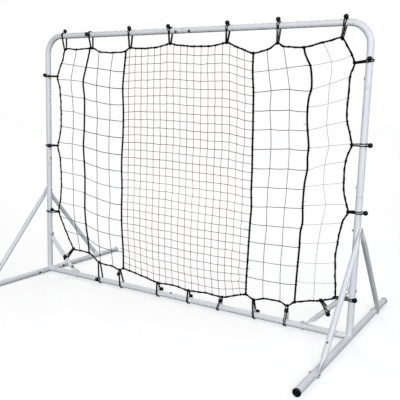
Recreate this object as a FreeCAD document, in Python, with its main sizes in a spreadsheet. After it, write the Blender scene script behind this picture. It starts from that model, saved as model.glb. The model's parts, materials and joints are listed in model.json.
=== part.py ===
import FreeCAD, Part
import math
import os
from FreeCAD import Placement, Rotation, Vector

# Pitch back rebounder: a plug-together steel tube frame with a net tied in by ball bungees.
# +X is to the right, +Y is backwards and +Z is up. The origin is on the ground, under the
# middle of the frame. Every size is in millimetres.

os.makedirs("parts", exist_ok=True)
doc = FreeCAD.newDocument("Rebounder")

# Driving sizes, each with a word for its alias.
drivingSizes = {
    "frameWidth": 2000,
    "frameHeight": 1490,
    "footSpan": 1330,
    "tubeDia": 32,
    "tubeWall": 1.5,
    "slipGap": 0.1,
    "seatGap": 0.3,
    "cornerRadius": 105,
    "railRise": 3.5,
    "upperSeamDrop": 289,
    "lowerSeamRise": 674,
    "slipLength": 85,
    "sleeveHalf": 90,
    "footStub": 62,
    "railStub": 60,
    "railSlip": 215,
    "buttonInset": 42,
    "buttonDia": 10,
    "buttonProud": 3.3,
    "railButtonDrop": 30,
    "stripWidth": 8,
    "stripThick": 0.8,
    "stripLength": 40,
    "stripBend": 3.2,
    "holeGap": 0.3,
    "plugOverhang": 2,
    "plugLip": 6,
    "plugDepth": 25,
    "plugWall": 3,
    "padFlat": 0.5,
    "braceDia": 25,
    "braceWall": 1.5,
    "braceFoot": 465,
    "braceRise": 515,
    "braceSeam": 110,
    "braceSlip": 70,
    "braceButtonInset": 26,
    "braceButtonDia": 8,
    "tabWidth": 34,
    "tabThick": 3,
    "tabReach": 20,
    "tabTaper": 58,
    "cornerBraceRun": 235,
    "cornerBraceRise": 228,
    "cornerBraceOffset": 228,
    "cornerTabReach": 14,
    "cornerTaperRun": 45,
    "boltDia": 6,
    "boltHeadDia": 13,
    "boltHeadThick": 2.8,
    "boltEnd": 3,
    "nutAcross": 10,
    "nutThick": 5,
    "ropeDia": 8,
    "dividerDia": 7.5,
    "cordDia": 4.5,
    "tieBend": 45,
    "ballDia": 23,
    "ballNeckDia": 12,
    "ballRise": 12,
    "netThick": 2,
    "netStrand": 3,
    "fineStrand": 2.5,
    "netPitch": 100,
}
sheet = doc.addObject("Spreadsheet::Sheet", "Sizes")
for row, (alias, value) in enumerate(drivingSizes.items(), start=1):
    sheet.set(f"A{row}", alias)
    sheet.set(f"B{row}", str(value))
    sheet.setAlias(f"B{row}", alias)

# Places that follow from the driving sizes.
derivedPlaces = {
    "tubeRadius": "=Sizes.tubeDia / 2",
    "boreRadius": "=Sizes.tubeDia / 2 - Sizes.tubeWall",
    "slipRadius": "=Sizes.tubeDia / 2 - Sizes.tubeWall - Sizes.slipGap",
    "slipBore": "=Sizes.tubeDia / 2 - 2 * Sizes.tubeWall - Sizes.slipGap",
    "postX": "=Sizes.frameWidth / 2 - Sizes.tubeDia / 2",
    "plugRadius": "=Sizes.tubeDia / 2 + Sizes.plugOverhang",
    "footZ": "=Sizes.tubeDia / 2 + Sizes.plugOverhang - Sizes.padFlat",
    "railZ": "=Sizes.tubeDia / 2 + Sizes.plugOverhang - Sizes.padFlat + Sizes.railRise",
    "topZ": "=Sizes.frameHeight - Sizes.tubeDia / 2",
    "upperSeamZ": "=Sizes.frameHeight - Sizes.tubeDia / 2 - Sizes.upperSeamDrop",
    "lowerSeamZ": "=Sizes.tubeDia / 2 + Sizes.plugOverhang - Sizes.padFlat"
    " + Sizes.railRise + Sizes.lowerSeamRise",
    "footEnd": "=Sizes.footSpan / 2 - Sizes.plugLip",
    "braceRadius": "=Sizes.braceDia / 2",
    "braceBore": "=Sizes.braceDia / 2 - Sizes.braceWall",
    "braceSlipRadius": "=Sizes.braceDia / 2 - Sizes.braceWall - Sizes.slipGap",
    "braceSlipBore": "=Sizes.braceDia / 2 - 2 * Sizes.braceWall - Sizes.slipGap",
    "braceLength": "=sqrt(Sizes.braceFoot ^ 2 + (Sizes.braceRise + Sizes.railRise) ^ 2)",
    "holeRadius": "=Sizes.buttonDia / 2 + Sizes.holeGap",
    "braceHoleRadius": "=Sizes.braceButtonDia / 2 + Sizes.holeGap",
    "boltHole": "=Sizes.boltDia / 2 + Sizes.holeGap",
    "stripTop": "=sqrt((Sizes.tubeDia / 2 - 2 * Sizes.tubeWall - Sizes.slipGap) ^ 2"
    " - (Sizes.stripWidth / 2) ^ 2) - 2 * Sizes.seatGap",
    "braceStripTop": "=sqrt((Sizes.braceDia / 2 - 2 * Sizes.braceWall - Sizes.slipGap) ^ 2"
    " - (Sizes.stripWidth / 2) ^ 2) - 2 * Sizes.seatGap",
    "cornerLowX": "=Sizes.frameWidth / 2 - Sizes.tubeDia / 2 - Sizes.cornerBraceRun"
    " + Sizes.cornerTabReach + Sizes.cornerTaperRun",
    "cornerHighX": "=Sizes.frameWidth / 2 - Sizes.tubeDia - Sizes.seatGap - Sizes.tabThick / 2"
    " - Sizes.cornerTaperRun + Sizes.cornerTabReach / 3",
}
layout = doc.addObject("Spreadsheet::Sheet", "Layout")
for row, (alias, formula) in enumerate(derivedPlaces.items(), start=1):
    layout.set(f"A{row}", alias)
    layout.set(f"B{row}", formula)
    layout.setAlias(f"B{row}", alias)
doc.recompute()


def size(alias):
    """The value of a driving size or a derived place."""
    source = sheet if alias in drivingSizes else layout
    return float(getattr(source, alias))


# The way an axis points: its letter's place, its sign, and the turn that brings +Z there. The top
# rail's buttons point forwards and down.
drop = math.radians(size("railButtonDrop"))
ways = {
    "+x": (0, 1, Rotation(Vector(0, 1, 0), 90)),
    "-x": (0, -1, Rotation(Vector(0, 1, 0), -90)),
    "+y": (1, 1, Rotation(Vector(1, 0, 0), -90)),
    "-y": (1, -1, Rotation(Vector(1, 0, 0), 90)),
    "+z": (2, 1, Rotation()),
    "-z": (2, -1, Rotation(Vector(1, 0, 0), 180)),
    "drop": (1, -1, Rotation(Vector(1, 0, 0), 90 + size("railButtonDrop"))),
}
wayVectors = {
    "+x": Vector(1, 0, 0),
    "-x": Vector(-1, 0, 0),
    "+y": Vector(0, 1, 0),
    "-y": Vector(0, -1, 0),
    "+z": Vector(0, 0, 1),
    "-z": Vector(0, 0, -1),
    "drop": Vector(0, -math.cos(drop), -math.sin(drop)),
}
sides = {"left": -1, "right": 1}
ends = {"front": -1, "rear": 1}
nodes = []


def keep(piece, label):
    """Marks an object as a piece of the rebounder that has its own file."""
    piece.Label = label
    nodes.append(piece)
    return piece


def place(piece, at, turn=None):
    """Puts an object at a point given by three expressions, turned by a rotation."""
    piece.Placement = Placement(Vector(), turn or Rotation())
    for axis, expression in zip("xyz", at):
        piece.setExpression("Placement.Base." + axis, expression)
    return piece


def primitive(kind, name, lengths, at=("0", "0", "0"), turn=None):
    """A Part primitive whose lengths and place are bound to the sheets."""
    piece = doc.addObject("Part::" + kind, name)
    for prop, expression in lengths.items():
        piece.setExpression(prop, expression)
    return place(piece, at, turn)


def rod(name, way, at, start, length, radius):
    """A round bar that runs a length along a way, from a start measured from a point."""
    axis, sign, turn = ways[way]
    base = list(at)
    base[axis] = f"({base[axis]}) + {sign} * ({start})"
    return primitive("Cylinder", name, {"Radius": radius, "Height": length}, base, turn)


def fused(name, pieces):
    """One solid from several."""
    if len(pieces) == 1:
        return pieces[0]
    whole = doc.addObject("Part::MultiFuse", name)
    whole.Shapes = pieces
    return whole


def cutAway(name, base, tools):
    """A solid less its tools."""
    result = doc.addObject("Part::Cut", name)
    result.Base = base
    result.Tool = fused(name + "_tools", tools)
    return result


def grouped(name, pieces):
    """Separate solids that share one file."""
    group = doc.addObject("Part::Compound", name)
    group.Links = pieces
    return keep(group, name)


def coded(name, shape, spot=None):
    """A piece whose shape is worked out in code, given its place after its shape."""
    piece = doc.addObject("Part::Feature", name)
    piece.Shape = shape
    if spot:
        piece.Placement = spot
    return piece


def tubeRun(name, way, at, stretches):
    """Outer bars and bores of a straight tube; a stretch is start, length, radius and bore."""
    outers = []
    bores = []
    for number, (start, length, radius, bore) in enumerate(stretches, start=1):
        outers.append(rod(f"{name}_outer_{number}", way, at, start, length, radius))
        bores.append(rod(f"{name}_bore_{number}", way, at, start, length, bore))
    return outers, bores


# Snap buttons: where each one is, which way it points, which way its strip runs, its tube.
buttons = []


def buttonHole(label, at, out, along, tube="main"):
    """Notes a snap button and returns the tool that drills its hole."""
    buttons.append((label, at, out, along, tube))
    radius = "Layout.holeRadius" if tube == "main" else "Layout.braceHoleRadius"
    return drillTool(label + "_hole", at, out, radius)


def drillTool(name, at, out, radius="Layout.holeRadius"):
    """A drill that goes through one wall of a main tube, from its axis outwards."""
    return rod(name, out, at, "0", "Sizes.tubeDia", radius)


def throughHole(name, at, way):
    """A drill for a bolt, right through a main tube."""
    return rod(name, way, at, "-Sizes.tubeDia", "2 * Sizes.tubeDia", "Layout.boltHole")


# Top tubes: half of the top rail, the corner bend and a short leg each.
def topTube(side, sign):
    """One bent top tube, hollow, drilled for the two snap buttons that it slips over."""
    label = f"top_tube_{side}"
    postX = f"{sign} * Layout.postX"
    outward = "+x" if sign > 0 else "-x"
    inward = "-x" if sign > 0 else "+x"
    bendTurn = Rotation(Vector(sign, 0, 0), Vector(0, 0, 1), Vector(0, -sign, 0), "XYZ")
    solids = []
    for part, radius in (("outer", "Layout.tubeRadius"), ("bore", "Layout.boreRadius")):
        rail = rod(
            f"{label}_rail_{part}",
            outward,
            ("0", "0", "Layout.topZ"),
            "Sizes.seatGap / 2",
            "Layout.postX - Sizes.cornerRadius - Sizes.seatGap / 2",
            radius,
        )
        bend = primitive(
            "Torus",
            f"{label}_bend_{part}",
            {"Radius1": "Sizes.cornerRadius", "Radius2": radius},
            (
                f"{sign} * (Layout.postX - Sizes.cornerRadius)",
                "0",
                "Layout.topZ - Sizes.cornerRadius",
            ),
            bendTurn,
        )
        bend.Angle1 = -180
        bend.Angle2 = 180
        bend.Angle3 = 90
        leg = rod(
            f"{label}_leg_{part}",
            "+z",
            (postX, "0", "Layout.upperSeamZ"),
            "Sizes.seatGap",
            "Sizes.upperSeamDrop - Sizes.cornerRadius - Sizes.seatGap",
            radius,
        )
        solids.append(fused(f"{label}_{part}", [rail, bend, leg]))
    railButton = (f"{sign} * Sizes.buttonInset", "0", "Layout.topZ")
    legButton = (postX, "0", "Layout.upperSeamZ + Sizes.buttonInset")
    holes = [
        drillTool(f"{label}_rail_hole", railButton, "drop"),
        drillTool(f"{label}_leg_hole", legButton, inward),
    ]
    keep(cutAway(label + "_body", solids[0], [solids[1]] + holes), label)


for side, sign in sides.items():
    topTube(side, sign)

# Joining sleeve inside the middle of the top rail.
sleeveAt = ("0", "0", "Layout.topZ")
sleeveOuter, sleeveBore = tubeRun(
    "top_rail_sleeve",
    "+x",
    sleeveAt,
    [("-Sizes.sleeveHalf", "2 * Sizes.sleeveHalf", "Layout.slipRadius", "Layout.slipBore")],
)
sleeveHoles = []
for side, sign in sides.items():
    sleeveHoles.append(
        buttonHole(
            f"snap_button_top_rail_{side}",
            (f"{sign} * Sizes.buttonInset", "0", "Layout.topZ"),
            "drop",
            "+x" if sign > 0 else "-x",
        )
    )
keep(cutAway("top_rail_sleeve_body", sleeveOuter[0], sleeveBore + sleeveHoles), "top_rail_sleeve")


# Upper posts: straight tubes with a swaged top that goes into the leg of a top tube.
def upperPost(side, sign):
    """One upper post, from the lower seam to the upper seam, with its swaged top."""
    label = f"upper_post_{side}"
    at = (f"{sign} * Layout.postX", "0", "Layout.lowerSeamZ")
    inward = "-x" if sign > 0 else "+x"
    length = "Layout.upperSeamZ - Layout.lowerSeamZ"
    outers, bores = tubeRun(
        label,
        "+z",
        at,
        [
            ("Sizes.seatGap", f"{length} - Sizes.seatGap", "Layout.tubeRadius", "Layout.boreRadius"),
            (length, "Sizes.slipLength", "Layout.slipRadius", "Layout.slipBore"),
        ],
    )
    upperButton = (at[0], "0", "Layout.upperSeamZ + Sizes.buttonInset")
    lowerButton = (at[0], "0", "Layout.lowerSeamZ + Sizes.buttonInset")
    holes = [
        buttonHole(f"snap_button_upper_post_{side}", upperButton, inward, "-z"),
        drillTool(f"{label}_lower_hole", lowerButton, inward),
    ]
    # A collar of tube wall closes the step between the two diameters.
    shoulderBore = rod(
        f"{label}_shoulder", "+z", at, f"{length} - Sizes.tubeWall", "Sizes.tubeWall", "Layout.slipBore"
    )
    bores[0].setExpression("Height", f"{length} - Sizes.seatGap - Sizes.tubeWall")
    keep(cutAway(label + "_body", fused(label + "_outer", outers), bores + [shoulderBore] + holes), label)


for side, sign in sides.items():
    upperPost(side, sign)


# Base posts: a lower post welded to a short length of foot and a stub of the bottom rail.
def basePost(side, sign):
    """One welded base post, with four swaged ends: up, front, rear and towards the middle."""
    label = f"base_post_{side}"
    x = f"{sign} * Layout.postX"
    inward = "-x" if sign > 0 else "+x"
    footAt = (x, "0", "Layout.footZ")
    railAt = (x, "0", "Layout.railZ")
    postHeight = "Layout.lowerSeamZ - Layout.footZ"
    mainTube = ("Layout.tubeRadius", "Layout.boreRadius")
    slipTube = ("Layout.slipRadius", "Layout.slipBore")
    postOuter, postBore = tubeRun(
        label + "_post",
        "+z",
        footAt,
        [("0", postHeight, *mainTube), (postHeight, "Sizes.slipLength", *slipTube)],
    )
    railOuter, railBore = tubeRun(
        label + "_rail",
        inward,
        railAt,
        [("0", "Sizes.railStub", *mainTube), ("Sizes.railStub", "Sizes.railSlip", *slipTube)],
    )
    footOuter, footBore = tubeRun(
        label + "_foot",
        "+y",
        footAt,
        [
            ("-Sizes.footStub", "2 * Sizes.footStub", *mainTube),
            ("-Sizes.footStub - Sizes.slipLength", "2 * Sizes.footStub + 2 * Sizes.slipLength", *slipTube),
        ],
    )
    # The post and the rail stub are closed where they meet the foot, so that its tube runs through.
    postBore[0].setExpression("Placement.Base.z", "Layout.footZ + Layout.tubeRadius")
    postBore[0].setExpression("Height", f"{postHeight} - Layout.tubeRadius - Sizes.tubeWall")
    railBore[0].setExpression("Placement.Base.x", f"{x} - {sign} * Layout.tubeRadius")
    railBore[0].setExpression("Height", "Sizes.railStub - Layout.tubeRadius - Sizes.tubeWall")
    footBore[0].setExpression("Placement.Base.y", "Sizes.tubeWall - Sizes.footStub")
    footBore[0].setExpression("Height", "2 * Sizes.footStub - 2 * Sizes.tubeWall")
    postBore.append(
        rod(label + "_post_shoulder", "+z", footAt, f"{postHeight} - 2 * Sizes.tubeWall",
            "2 * Sizes.tubeWall", "Layout.slipBore")
    )
    railBore.append(
        rod(label + "_rail_shoulder", inward, railAt, "Sizes.railStub - 2 * Sizes.tubeWall",
            "2 * Sizes.tubeWall", "Layout.slipBore")
    )
    holes = [
        buttonHole(
            f"snap_button_base_post_{side}",
            (x, "0", "Layout.lowerSeamZ + Sizes.buttonInset"),
            inward,
            "-z",
        ),
        throughHole(label + "_brace_hole", (x, "0", "Layout.railZ + Sizes.braceRise"), inward),
        throughHole(label + "_corner_hole", (x, "0", "Layout.railZ + Sizes.cornerBraceRise"), inward),
        throughHole(
            label + "_rail_hole",
            (f"{sign} * (Layout.postX - Sizes.cornerBraceRun)", "0", "Layout.railZ"),
            "+z",
        ),
    ]
    for end, step in ends.items():
        holes.append(
            buttonHole(
                f"snap_button_foot_{end}_{side}",
                (x, f"{step} * (Sizes.footStub + Sizes.buttonInset)", "Layout.footZ"),
                inward,
                "+y" if step < 0 else "-y",
            )
        )
    body = fused(label + "_outer", postOuter + railOuter + footOuter)
    keep(cutAway(label + "_body", body, postBore + railBore + footBore + holes), label)


for side, sign in sides.items():
    basePost(side, sign)


# Bottom rail: two tubes that slip over the stubs and into each other at the middle.
def bottomRail(side, sign):
    """One half of the bottom rail; the right half has the swaged inner end."""
    label = f"bottom_rail_{side}"
    outward = "+x" if sign > 0 else "-x"
    at = ("0", "0", "Layout.railZ")
    length = "Layout.postX - Sizes.railStub - Sizes.seatGap"
    gap = "Sizes.seatGap / 2"
    stretches = [(gap, f"{length} - {gap}", "Layout.tubeRadius", "Layout.boreRadius")]
    button = ("-Sizes.buttonInset", "0", "Layout.railZ")
    if sign > 0:
        stretches.append(("-Sizes.slipLength", f"Sizes.slipLength + {gap}", "Layout.slipRadius",
                          "Layout.slipBore"))
        holes = [buttonHole("snap_button_bottom_rail", button, "+z", "+x")]
    else:
        holes = [drillTool(label + "_hole", button, "+z")]
    outers, bores = tubeRun(label, outward, at, stretches)
    if sign > 0:
        bores[0].setExpression("Placement.Base.x", f"{gap} + 2 * Sizes.tubeWall")
        bores[0].setExpression("Height", f"{length} - {gap} - 2 * Sizes.tubeWall")
        bores[1].setExpression("Height", f"Sizes.slipLength + {gap} + 2 * Sizes.tubeWall")
    boltAt = (f"{sign} * (Layout.postX - Sizes.cornerBraceRun)", "0", "Layout.railZ")
    holes.append(throughHole(label + "_bolt_hole", boltAt, "+z"))
    keep(cutAway(label + "_body", fused(label + "_outer", outers), bores + holes), label)


for side, sign in sides.items():
    bottomRail(side, sign)


# Feet: a front and a rear tube on each side, each closed by a plug that stands on the ground.
def footTube(side, sign, end, step):
    """One foot tube, slipped over the base post and bolted to a side brace."""
    label = f"foot_tube_{end}_{side}"
    x = f"{sign} * Layout.postX"
    way = "+y" if step > 0 else "-y"
    inward = "-x" if sign > 0 else "+x"
    outers, bores = tubeRun(
        label,
        way,
        (x, "0", "Layout.footZ"),
        [
            (
                "Sizes.footStub + Sizes.seatGap",
                "Layout.footEnd - Sizes.footStub - Sizes.seatGap",
                "Layout.tubeRadius",
                "Layout.boreRadius",
            )
        ],
    )
    buttonAt = (x, f"{step} * (Sizes.footStub + Sizes.buttonInset)", "Layout.footZ")
    boltAt = (x, f"{step} * Sizes.braceFoot", "Layout.footZ")
    holes = [
        drillTool(label + "_button_hole", buttonAt, inward),
        throughHole(label + "_bolt_hole", boltAt, inward),
    ]
    keep(cutAway(label + "_body", outers[0], bores + holes), label)


def footPlug(side, sign, end, step):
    """One moulded end plug: a hollow shank in the tube and a lip with a flat that it stands on."""
    label = f"foot_plug_{end}_{side}"
    at = (f"{sign} * Layout.postX", f"{step} * Layout.footEnd", "Layout.footZ")
    way = "+y" if step > 0 else "-y"
    lip = rod(label + "_lip", way, at, "0", "Sizes.plugLip * 0.6", "Layout.plugRadius")
    axis, direction, turn = ways[way]
    crown = primitive(
        "Cone",
        label + "_crown",
        {
            "Radius1": "Layout.plugRadius",
            "Radius2": "Layout.plugRadius - Sizes.plugLip * 0.4",
            "Height": "Sizes.plugLip * 0.4",
        },
        (at[0], f"{step} * (Layout.footEnd + Sizes.plugLip * 0.6)", at[2]),
        turn,
    )
    shank = rod(label + "_shank", way, at, "-Sizes.plugDepth", "Sizes.plugDepth", "Layout.slipRadius")
    hollow = rod(
        label + "_hollow",
        way,
        at,
        "-Sizes.plugDepth",
        "Sizes.plugDepth",
        "Layout.slipRadius - Sizes.plugWall",
    )
    flat = primitive(
        "Box",
        label + "_flat",
        {"Length": "2 * Layout.plugRadius", "Width": "4 * Sizes.plugLip", "Height": "Sizes.plugLip"},
        (
            f"{at[0]} - Layout.plugRadius",
            f"{step} * Layout.footEnd - 2 * Sizes.plugLip",
            "-Sizes.plugLip",
        ),
    )
    keep(cutAway(label + "_body", fused(label + "_outer", [lip, crown, shank]), [hollow, flat]), label)


for side, sign in sides.items():
    for end, step in ends.items():
        footTube(side, sign, end, step)
        footPlug(side, sign, end, step)


# Flattened tube ends, used by every brace. Each is made with its bolt along X and its tube up.
def slotWire(height):
    """The outline of the flat, two straight edges and two half circles, at a height."""
    half = size("tabThick") / 2
    side = size("tabWidth") / 2
    corners = [(-half, half - side), (-half, side - half), (half, side - half), (half, half - side)]
    points = [Vector(x, y, height) for x, y in corners]
    edges = [
        Part.makeLine(points[0], points[1]),
        Part.Arc(points[1], Vector(0, side, height), points[2]).toShape(),
        Part.makeLine(points[2], points[3]),
        Part.Arc(points[3], Vector(0, -side, height), points[0]).toShape(),
    ]
    return Part.Wire(edges)


def ringWire(middle, lean):
    """The outline of the round tube, as four arcs that match the flat's edges, leant towards X."""
    radius = size("braceRadius")
    turn = Rotation(Vector(0, 1, 0), lean)

    def at(angle):
        turned = math.radians(angle)
        return middle + turn.multVec(Vector(-radius * math.cos(turned), radius * math.sin(turned), 0))

    stops = [-40, 40, 140, 220, 320]
    arcs = []
    for first, last in zip(stops, stops[1:]):
        arcs.append(Part.Arc(at(first), at((first + last) / 2), at(last)).toShape())
    return Part.Wire(arcs)


def flatEnd(name, reach, ringAt, lean, at, turn=None):
    """A drilled plate with a round end, and the taper from it to a ring of the brace's tube."""
    origin = ("0", "0", "0")
    disc = rod(
        name + "_disc", "+x", origin, "-Sizes.tabThick / 2", "Sizes.tabThick", "Sizes.tabWidth / 2"
    )
    plate = primitive(
        "Box",
        name + "_plate",
        {"Length": "Sizes.tabThick", "Width": "Sizes.tabWidth", "Height": reach},
        ("-Sizes.tabThick / 2", "-Sizes.tabWidth / 2", "0"),
    )
    reachValue = size(reach.split(".")[1])
    loft = Part.makeLoft([slotWire(reachValue), ringWire(ringAt, lean)], True, False)
    taper = coded(name + "_taper", loft)
    hole = rod(name + "_hole", "+x", origin, "-Sizes.tabWidth", "2 * Sizes.tabWidth", "Layout.boltHole")
    return place(cutAway(name, fused(name + "_outer", [disc, plate, taper]), [hole]), at, turn)


# Side braces: an end piece at the foot that slips into a longer tube bolted to the post.
def sideBrace(side, sign, end, step):
    """One side brace in its own frame: bolt to bolt along +Z, outwards along +X."""
    origin = ("0", "0", "0")
    ringAt = Vector(0, 0, size("tabReach") + size("tabTaper"))
    roundStart = "Sizes.tabReach + Sizes.tabTaper"
    shoulder = "2 * Sizes.braceWall"
    flat = size("tabThick") / 2 + size("seatGap")
    # The rear brace's top lies outside the front one's on the same bolt.
    topFlat = flat if step < 0 else flat + size("tabThick") + size("seatGap")
    outside = size("postX") + size("tubeRadius")
    footBolt = Vector(sign * (outside + flat), step * size("braceFoot"), size("footZ"))
    postBolt = Vector(sign * (outside + topFlat), 0, size("railZ") + size("braceRise"))
    turn = Rotation(Vector(1, 0, 0), Vector(), postBolt - footBolt, "ZXY")
    at = (
        f"{sign} * (Layout.postX + Layout.tubeRadius + Sizes.tabThick / 2 + Sizes.seatGap)",
        f"{step} * Sizes.braceFoot",
        "Layout.footZ",
    )
    # The button looks up and away from the post.
    buttonWay = "+y" if step > 0 else "-y"
    buttonHeight = "Sizes.braceSeam + Sizes.braceButtonInset"

    lower = f"brace_end_{end}_{side}"
    outers, bores = tubeRun(
        lower,
        "+z",
        origin,
        [
            (roundStart, f"Sizes.braceSeam - {roundStart}", "Layout.braceRadius", "Layout.braceBore"),
            ("Sizes.braceSeam", "Sizes.braceSlip", "Layout.braceSlipRadius", "Layout.braceSlipBore"),
        ],
    )
    outers[0].setExpression("Height", f"Sizes.braceSeam - ({roundStart})")
    bores[0].setExpression("Height", f"Sizes.braceSeam - ({roundStart}) - {shoulder}")
    bores[1].setExpression("Placement.Base.z", f"Sizes.braceSeam - {shoulder}")
    bores[1].setExpression("Height", f"Sizes.braceSlip + {shoulder}")
    lowerEnd = flatEnd(lower + "_flat", "Sizes.tabReach", ringAt, 0, origin)
    lowerHole = rod(
        lower + "_hole", buttonWay, ("0", "0", buttonHeight), "0", "Sizes.braceDia", "Layout.braceHoleRadius"
    )
    body = fused(lower + "_outer", [lowerEnd] + outers)
    keep(place(cutAway(lower + "_body", body, bores + [lowerHole]), at, turn), lower)

    upper = f"side_brace_{end}_{side}"
    start = "Sizes.braceSeam + Sizes.seatGap"
    length = f"Layout.braceLength - ({roundStart}) - ({start})"
    outers, bores = tubeRun(upper, "+z", origin, [(start, length, "Layout.braceRadius", "Layout.braceBore")])
    upsideDown = ways["-z"][2]
    upperEnd = flatEnd(
        upper + "_flat", "Sizes.tabReach", ringAt, 0, ("0", "0", "Layout.braceLength"), upsideDown
    )
    upperHole = rod(
        upper + "_hole", buttonWay, ("0", "0", buttonHeight), "0", "Sizes.braceDia", "Layout.braceHoleRadius"
    )
    body = fused(upper + "_outer", [upperEnd] + outers)
    keep(place(cutAway(upper + "_body", body, bores + [upperHole]), at, turn), upper)

    buttonAt = footBolt + turn.multVec(Vector(0, 0, size("braceSeam") + size("braceButtonInset")))
    out = turn.multVec(Vector(0, step, 0))
    run = turn.multVec(Vector(0, 0, -1))
    buttons.append((f"snap_button_brace_{end}_{side}", buttonAt, out, run, "brace"))


for side, sign in sides.items():
    for end, step in ends.items():
        sideBrace(side, sign, end, step)


# Corner braces: a tab on top of the bottom rail, a slanting tube, and a tab on the post.
def cornerBraceAxis(sign, x):
    """The point on a corner brace's centre line at a distance x from the middle."""
    return Vector(sign * x, 0, size("railZ") + x - (size("postX") - size("cornerBraceOffset")))


def cornerBrace(side, sign):
    """One corner brace, at forty-five degrees in the plane of the frame."""
    label = f"corner_brace_{side}"
    flat = "Layout.tubeRadius + Sizes.seatGap + Sizes.tabThick / 2"
    lowX = size("cornerLowX")
    highX = size("cornerHighX")
    lift = size("tubeRadius") + size("seatGap") + size("tabThick") / 2
    lowRise = cornerBraceAxis(1, lowX).z - size("railZ") - lift
    lowRing = Vector(lowRise, 0, size("cornerBraceRun") - size("postX") + lowX)
    highRing = Vector(
        size("postX") - lift - highX, 0, size("railZ") + size("cornerBraceRise") - cornerBraceAxis(1, highX).z
    )
    # Each flat's bolt looks away from its tube: up on the rail, inwards on the post.
    lowTurn = Rotation(Vector(0, 0, 1), Vector(), Vector(sign, 0, 0), "ZXY")
    highTurn = Rotation(Vector(-sign, 0, 0), Vector(), Vector(0, 0, -1), "ZXY")
    lowEnd = flatEnd(
        label + "_low",
        "Sizes.cornerTabReach",
        lowRing,
        45,
        (f"{sign} * (Layout.postX - Sizes.cornerBraceRun)", "0", f"Layout.railZ + {flat}"),
        lowTurn,
    )
    highEnd = flatEnd(
        label + "_high",
        "Sizes.cornerTabReach",
        highRing,
        45,
        (f"{sign} * (Layout.postX - ({flat}))", "0", "Layout.railZ + Sizes.cornerBraceRise"),
        highTurn,
    )
    tubeAt = (
        f"{sign} * Layout.cornerLowX",
        "0",
        "Layout.railZ + Layout.cornerLowX - Layout.postX + Sizes.cornerBraceOffset",
    )
    tubeTurn = Rotation(Vector(0, 1, 0), sign * 45)
    length = "(Layout.cornerHighX - Layout.cornerLowX) * sqrt(2)"
    tube = primitive(
        "Cylinder", label + "_tube", {"Radius": "Layout.braceRadius", "Height": length}, tubeAt, tubeTurn
    )
    bore = primitive(
        "Cylinder", label + "_bore", {"Radius": "Layout.braceBore", "Height": length}, tubeAt, tubeTurn
    )
    keep(cutAway(label + "_body", fused(label + "_outer", [lowEnd, tube, highEnd]), [bore]), label)


for side, sign in sides.items():
    cornerBrace(side, sign)


# Bolts and nuts of the braces.
bolts = []
nuts = []


def fastener(name, headAt, way, grip):
    """A domed bolt whose head sits at a point and whose shank goes along a way, with its nut."""
    _, _, turn = ways[way]
    shankLength = f"({grip}) + 2 * Sizes.seatGap + Sizes.nutThick + Sizes.boltEnd"
    head = primitive(
        "Cone",
        name + "_head",
        {
            "Radius1": "Sizes.boltHeadDia / 2 - 2",
            "Radius2": "Sizes.boltHeadDia / 2",
            "Height": "Sizes.boltHeadThick",
        },
        ("0", "0", "-Sizes.boltHeadThick"),
    )
    shank = primitive("Cylinder", name + "_shank", {"Radius": "Sizes.boltDia / 2", "Height": shankLength})
    bolt = place(fused(name + "_bolt", [head, shank]), headAt, turn)
    prism = doc.addObject("Part::Prism", name + "_hex")
    prism.Polygon = 6
    prism.setExpression("Circumradius", "Sizes.nutAcross / 2 / cos(30)")
    prism.setExpression("Height", "Sizes.nutThick")
    collar = primitive(
        "Cone",
        name + "_collar",
        {
            "Radius1": "Sizes.nutAcross * 0.46",
            "Radius2": "Sizes.nutAcross * 0.38",
            "Height": "Sizes.boltEnd * 0.6",
        },
        ("0", "0", "Sizes.nutThick"),
    )
    nutBody = fused(name + "_nut_outer", [prism, collar])
    nutBore = primitive(
        "Cylinder",
        name + "_nut_bore",
        {"Radius": "Sizes.boltDia / 2 + Sizes.slipGap / 2", "Height": "2 * Sizes.nutThick"},
    )
    nut = cutAway(name + "_nut", nutBody, [nutBore])
    axis, direction, _ = ways[way]
    nutAt = list(headAt)
    nutAt[axis] = f"({nutAt[axis]}) + {direction} * (({grip}) + 2 * Sizes.seatGap)"
    bolts.append(bolt)
    nuts.append(place(nut, nutAt, turn))


for side, sign in sides.items():
    inward = "-x" if sign > 0 else "+x"
    outside = "Layout.tubeRadius + {} * (Sizes.tabThick + Sizes.seatGap) + Sizes.seatGap"
    fastener(
        f"brace_top_{side}",
        (f"{sign} * (Layout.postX + {outside.format(2)})", "0", "Layout.railZ + Sizes.braceRise"),
        inward,
        "Sizes.tubeDia + 2 * Sizes.tabThick + 2 * Sizes.seatGap",
    )
    for end, step in ends.items():
        fastener(
            f"brace_foot_{end}_{side}",
            (
                f"{sign} * (Layout.postX + {outside.format(1)})",
                f"{step} * Sizes.braceFoot",
                "Layout.footZ",
            ),
            inward,
            "Sizes.tubeDia + Sizes.tabThick + Sizes.seatGap",
        )
    fastener(
        f"corner_post_{side}",
        (f"{sign} * (Layout.postX + Layout.tubeRadius + Sizes.seatGap)", "0",
         "Layout.railZ + Sizes.cornerBraceRise"),
        inward,
        "Sizes.tubeDia + Sizes.tabThick + Sizes.seatGap",
    )
    fastener(
        f"corner_rail_{side}",
        (f"{sign} * (Layout.postX - Sizes.cornerBraceRun)", "0",
         "Layout.railZ - Layout.tubeRadius - Sizes.seatGap"),
        "+z",
        "Sizes.tubeDia + Sizes.tabThick + Sizes.seatGap",
    )
grouped("brace_bolts", bolts)
grouped("brace_nuts", nuts)


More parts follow.
